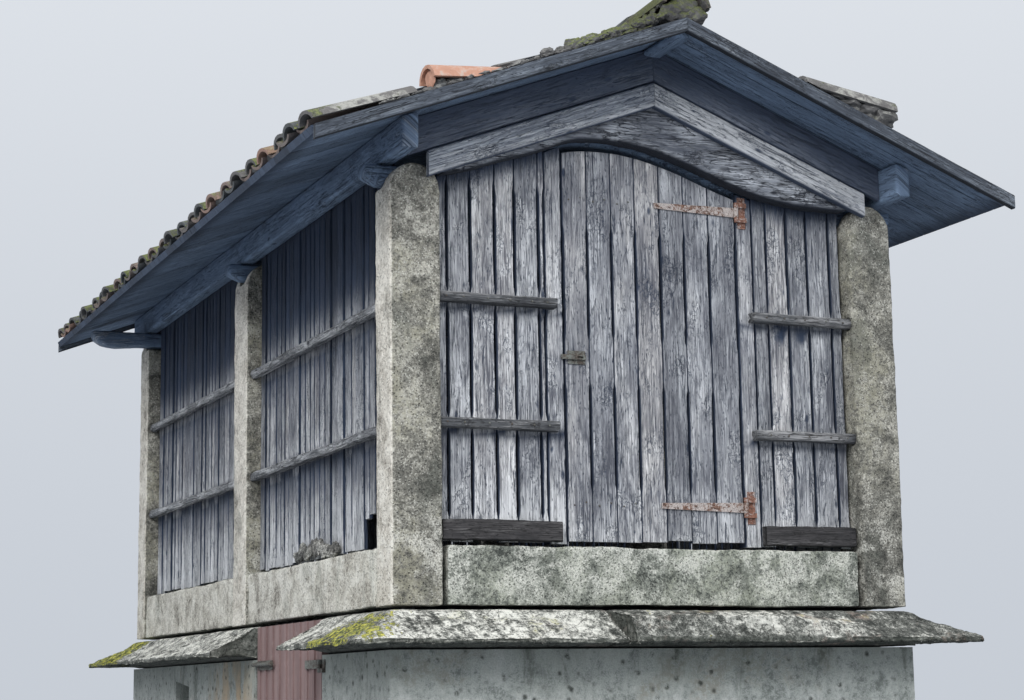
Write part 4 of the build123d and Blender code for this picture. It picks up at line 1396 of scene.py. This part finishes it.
left_rows = slope_tiles("left", -1, 3, 31) + [
    slope_rows("verge_foot", cover, -1, 1, -verge_row, 1, lift=0.014, seed=5),
    red_tile,
    lumpy("verge_fragments", fragments, seed=4),
    lumpy("verge_moss", clumps, seed=9),
]
placed(joined("tile_rows_left", left_rows), "tiles_left", clay)
propped_start = (0.950, -2.286, 3.924)
propped_turn = (0.0, -0.160, math.pi + 0.01)
propped = tiled("propped_tile", high_tile, propped_start, propped_turn, seed=5)
bed = lumpy("tile_bed", [
    ((x, -2.296, 0.5 * (deck_top(x) + top)), (0.062, 0.052, 0.5 * (top - deck_top(x)) - 0.004), 0.2)
    for x, top in ((0.60, 4.022), (0.68, 4.012), (0.76, 3.998), (0.84, 3.985), (0.91, 3.972))
], seed=23)
right_rows = slope_tiles("right", 1, 43, 37) + [on_deck("tipped_tile", [propped, bed], 1)]
placed(joined("tile_rows_right", right_rows), "tiles_right", clay)

# Ridge tiles: larger barrels along the top on a bed of mortar, lapped away
# from the front. The one at the front has sunk a little, thick with moss.
ridge_tile = barrel_tile(
    "ridge_barrel", width=0.216, tail=0.196, rise=0.100, thick=0.016, length=0.450,
)
ridge_start = (0.0, -2.364, 4.253)
ridge_row = [tiled(
    "ridge_barrels", ridge_tile, ridge_start, (0.0, 0.0, math.pi / 2), seed=4,
    courses=12, run=4.28, tilt=0.010, shift=0.010,
)]
ridge_bed = Joinery("ridge_bed")
ridge_bed.bar(
    Vector((0.092, 0, 4.276)), north, up, east, -2.32, 2.32, (0.108, 0.184), 61,
    tone=0.35, rough=0.012, step=0.04,
)
ridge_row.append(ridge_bed.finished())
tufts = []
for index in range(30):
    angle = chance.uniform(-1.35, 1.35)
    y = chance.uniform(-2.340, -2.10)
    spot = (0.098 * math.sin(angle), y, 4.246 + 0.086 * math.cos(angle))
    tufts.append((spot, drawn((0.022, 0.036), (0.022, 0.034), (0.008, 0.013)), angle))
for x, z, size in (
    (0.0, 4.262, 0.062), (-0.05, 4.235, 0.05), (0.05, 4.235, 0.05), (0.0, 4.225, 0.05),
):
    tufts.append(((x, -2.330, z), (size, 0.028, size * 0.8), 0.0))
ridge_row.append(lumpy("ridge_moss", tufts, seed=15))
placed(joined("ridge_row", ridge_row), "ridge_tiles", clay)
for pattern in (cover, channel, high_tile, ridge_tile):
    bpy.data.objects.remove(pattern)

# Ironwork of the chamber door: tapered forged straps on pins, once painted
# and now peeling to rust, nailed to the boards, and plates screwed to the
# post. The store door has plainer straps, pins and a bolt.


def forged_iron(name, paint, rust, dark, worn):
    """Rusty iron; worn is how much of the old paint is gone, from 0 to 1."""
    material, place = new_finish(name)
    flakes = place.cloud(85, 6, 0.74, 0.6)
    patches = place.cloud(19, 6, 0.7, 0.4)
    grit = place.cloud(320, 2, 0.6)
    bright = tuple(share * value for share, value in zip((1.25, 1.2, 1.1), rust))
    dim = tuple(0.6 * value for value in paint)
    kept = (flakes * 0.55 + patches * 0.45 + 0.5 - worn).between(0.46, 0.54)
    colour = flakes.ramp((0.35, dark), (0.5, rust), (0.66, bright)).coats(
        (grit.ramp((0.35, dim), (0.6, paint)), kept),
        (dark, place.pocks(160, 0.1, 0.3) * patches.between(0.4, 0.55) * 0.8),
    )
    relief = flakes * 0.6 + grit * 0.3 + kept * 0.5
    return seal(material, colour, flakes * 0.3 + 0.6, relief, depth=0.0015, metal=0.1)


peeling = forged_iron(
    "peeling strap iron", (0.56, 0.50, 0.47), (0.23, 0.12, 0.08), (0.055, 0.035, 0.028), worn=0.48,
)
flaking = forged_iron(
    "flaking plate iron", (0.50, 0.43, 0.40), (0.25, 0.11, 0.07), (0.06, 0.035, 0.028), worn=0.52,
)
grey_iron = forged_iron(
    "grey iron", (0.20, 0.21, 0.19), (0.10, 0.08, 0.065), (0.035, 0.033, 0.03), worn=0.5,
)
dress("door_straps", peeling)
dress("door_hinge_plates", flaking)
for node in ("door_hasp", "store_door_straps", "store_hinge_pins", "store_bolt"):
    dress(node, grey_iron)


def nail_head():
    """A hammered head, a low dome that faces the front."""
    mesh = bmesh.new()
    rings = []
    sides = 8
    for reach, rise in ((1.0, 0.0), (0.86, 0.32), (0.45, 0.5)):
        ring = []
        for turn in range(sides):
            angle = turn * math.pi / 4
            ring.append(mesh.verts.new((reach * math.cos(angle), -rise, reach * math.sin(angle))))
        rings.append(ring)
    for outer, inner in zip(rings, rings[1:]):
        for turn in range(sides):
            near = (turn + 1) % sides
            mesh.faces.new((outer[turn], outer[near], inner[near], inner[turn]))
    mesh.faces.new(rings[-1])
    mesh.faces.new(tuple(reversed(rings[0])))
    bmesh.ops.recalc_face_normals(mesh, faces=mesh.faces)
    for face in mesh.faces:
        face.smooth = len(face.verts) == 4
    return plain("nail_pattern", mesh)


def nailing_tree():
    """Sets a head on every spot, with sizes that vary."""
    nailing = Tree("nailing", (
        ("Head", "Object"), ("Finish", "Material"),
        ("Radius", "Float"), ("Spread", "Float"), ("Seed", "Int"),
    ))
    given, add, maths = nailing.given, nailing.add, nailing.maths
    head = add("GeometryNodeObjectInfo", None, {"Object": given["Head"]})
    least = maths("SUBTRACT", given["Radius"], given["Spread"], "")
    most = maths("ADD", given["Radius"], given["Spread"], "")
    values = {"Min": least, "Max": most, "Seed": given["Seed"]}
    size = add("FunctionNodeRandomValue", {"data_type": "FLOAT"}, values)
    points = add("GeometryNodeMeshToPoints", None, {"Mesh": given["Geometry"]})
    heads = add("GeometryNodeInstanceOnPoints", None, {
        "Points": points[0], "Instance": head["Geometry"], "Scale": size[1],
    })
    return nailing.end(heads[0])


nailing = nailing_tree()
nail = nail_head()
strap_levels = (2.352, 3.556)
strap_spots = [(x, -1.9738, z) for z in strap_levels for x in (0.352, 0.268, 0.186, 0.104, 0.056)]
door_spots = [
    (0.5 * (a + b) + side, -1.9678, z + 0.24 * side)
    for z in strap_levels for a, b in zip(door_run[:3], door_run[1:4]) for side in (-0.024, 0.026)
]
plate_spots = [
    (0.4345 + side, -1.9718, z + rise)
    for z in strap_levels for side in (-0.008, 0.008) for rise in (-0.054, 0.054)
]
rail_spots = [
    (0.5 * (a + b), -2.0125, top - 0.022)
    for top in front_rail_tops for run in (left_run, right_run) for a, b in zip(run, run[1:])
]
for name, spots, radius, spread, seed, finish, node, body in (
    ("strap_nails", strap_spots, 0.0065, 0.00078, 2, peeling, "door_straps", "chamber_door"),
    ("board_nails", door_spots, 0.0038, 0.000456, 2, grey_iron, "chamber_door", "chamber_door"),
    ("plate_screws", plate_spots, 0.0050, 0.0006, 2, flaking, "door_hinge_plates", "granary"),
    ("rail_nails", rail_spots, 0.0042, 0.0006, 5, grey_iron, "rails_front", "granary"),
):
    heads = laid(
        name, nailing, spots, Head=nail, Finish=finish, Radius=radius, Spread=spread, Seed=seed,
    )
    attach(heads, body)
bpy.data.objects.remove(nail)

# The store's door: ribbed sheet painted brown, dulled by the sun, streaked
# by rain and splashed with earth at the foot.


def painted_sheet():
    """Dull brown paint with pale dust, and dirt at the foot."""
    material, place = new_finish("brown painted sheet")
    dust = place.cloud((6, 14, 1.1), 5, 0.6, 0.3)
    mottle = place.cloud(34, 6, 0.7)
    blotch = place.cloud(5, 5, 0.6, 0.4)
    dirt = (1 - place.part(2).between(0.02, 0.35)) * dust.between(0.35, 0.6)
    colour = dust.ramp((0.3, (0.165, 0.10, 0.095)), (0.7, (0.29, 0.20, 0.19)))
    colour = colour.shaded(mottle * 0.5 + 0.75).coats(
        ((0.33, 0.27, 0.25), mottle.between(0.55, 0.7) * blotch.between(0.45, 0.6) * 0.5),
        ((0.05, 0.035, 0.03), dirt * 0.7),
    )
    relief = dust * 0.6 + mottle * 0.4
    return seal(material, colour, mottle * 0.2 + 0.58, relief, depth=0.001)


dress("store_door", painted_sheet())

# A plain pale floor, soft light from the sky and two large lamps, and a
# camera where the photographer stood.


def mixed(share, first, second):
    """Two colours mixed by a share."""
    values = {0: share, 6: first, 7: second}
    return share.make("ShaderNodeMix", {"data_type": "RGBA"}, values, 2)


def stage_finish():
    """A matt floor that is pale to the camera and throws less light back."""
    material, place = new_finish("pale floor")
    seen = place.make("ShaderNodeLightPath", None, None, 0)
    colour = mixed(seen, (0.40, 0.42, 0.45), (0.74, 0.74, 0.74))
    surface = place.make("ShaderNodeBsdfDiffuse", None, {"Color": colour, "Roughness": 1.0})
    surface.make("ShaderNodeOutputMaterial", None, {"Surface": surface})
    return material


ground = bmesh.new()
bmesh.ops.create_grid(ground, x_segments=1, y_segments=1, size=60)
floor = plain("floor", ground)
floor.data.materials.append(stage_finish())

world = bpy.data.worlds.new("soft sky")
bpy.context.scene.world = world
world.use_nodes = True
world.node_tree.nodes.clear()
direction = Flow(world.node_tree.nodes.new("ShaderNodeTexCoord").outputs["Generated"])
up_share = direction.part(2).between(-0.1, 0.9)
sky_colour = mixed(up_share, (0.56, 0.60, 0.66), (0.95, 0.98, 1.02))
glossy = direction.make("ShaderNodeLightPath", None, None, 3)
through = direction.make("ShaderNodeLightPath", None, None, 6)
sky_mix = mixed(glossy.math("MAXIMUM", through), sky_colour, (0.80, 0.81, 0.82))
sky_light = sky_mix.make("ShaderNodeBackground", None, {"Color": sky_mix, "Strength": 1.0})
sky_light.make("ShaderNodeOutputWorld", None, {"Surface": sky_light})


def lamp(name, place, size, power, aim=(0, 0, 2.6)):
    """A large soft lamp that looks at a point."""
    data = bpy.data.lights.new(name, "AREA")
    data.shape = "SQUARE"
    data.size = size
    data.energy = power
    unit = bpy.data.objects.new(name, data)
    unit.location = place
    unit.rotation_euler = (Vector(aim) - Vector(place)).to_track_quat("-Z", "Y").to_euler()
    bpy.context.scene.collection.objects.link(unit)


lamp("key", (-7.5, -9.5, 9.0), size=6.0, power=1050)
lamp("side", (9.0, -7.0, 7.0), size=7.0, power=350)

yaw, pitch, roll = (math.radians(angle) for angle in (23.551, 9.778, -0.863))
level_share = math.cos(pitch)
forward = Vector((math.sin(yaw) * level_share, math.cos(yaw) * level_share, math.sin(pitch)))
level_right = Vector((math.cos(yaw), -math.sin(yaw), 0))
level_up = level_right.cross(forward)
right = level_right * math.cos(roll) + level_up * math.sin(roll)
camera_up = level_up * math.cos(roll) - level_right * math.sin(roll)
focal_pixels, picture_pixels, sensor_width = 2000, 1024, 36
lens = bpy.data.cameras.new("photo view")
lens.lens = focal_pixels / picture_pixels * sensor_width
lens.sensor_width = sensor_width
camera = bpy.data.objects.new("photo view", lens)
turn = Matrix((right, camera_up, -forward)).transposed().to_4x4()
camera.matrix_world = Matrix.Translation((-3.611, -8.890, 1.634)) @ turn
bpy.context.scene.collection.objects.link(camera)
bpy.context.scene.camera = camera
bpy.context.scene.view_settings.view_transform = "Standard"
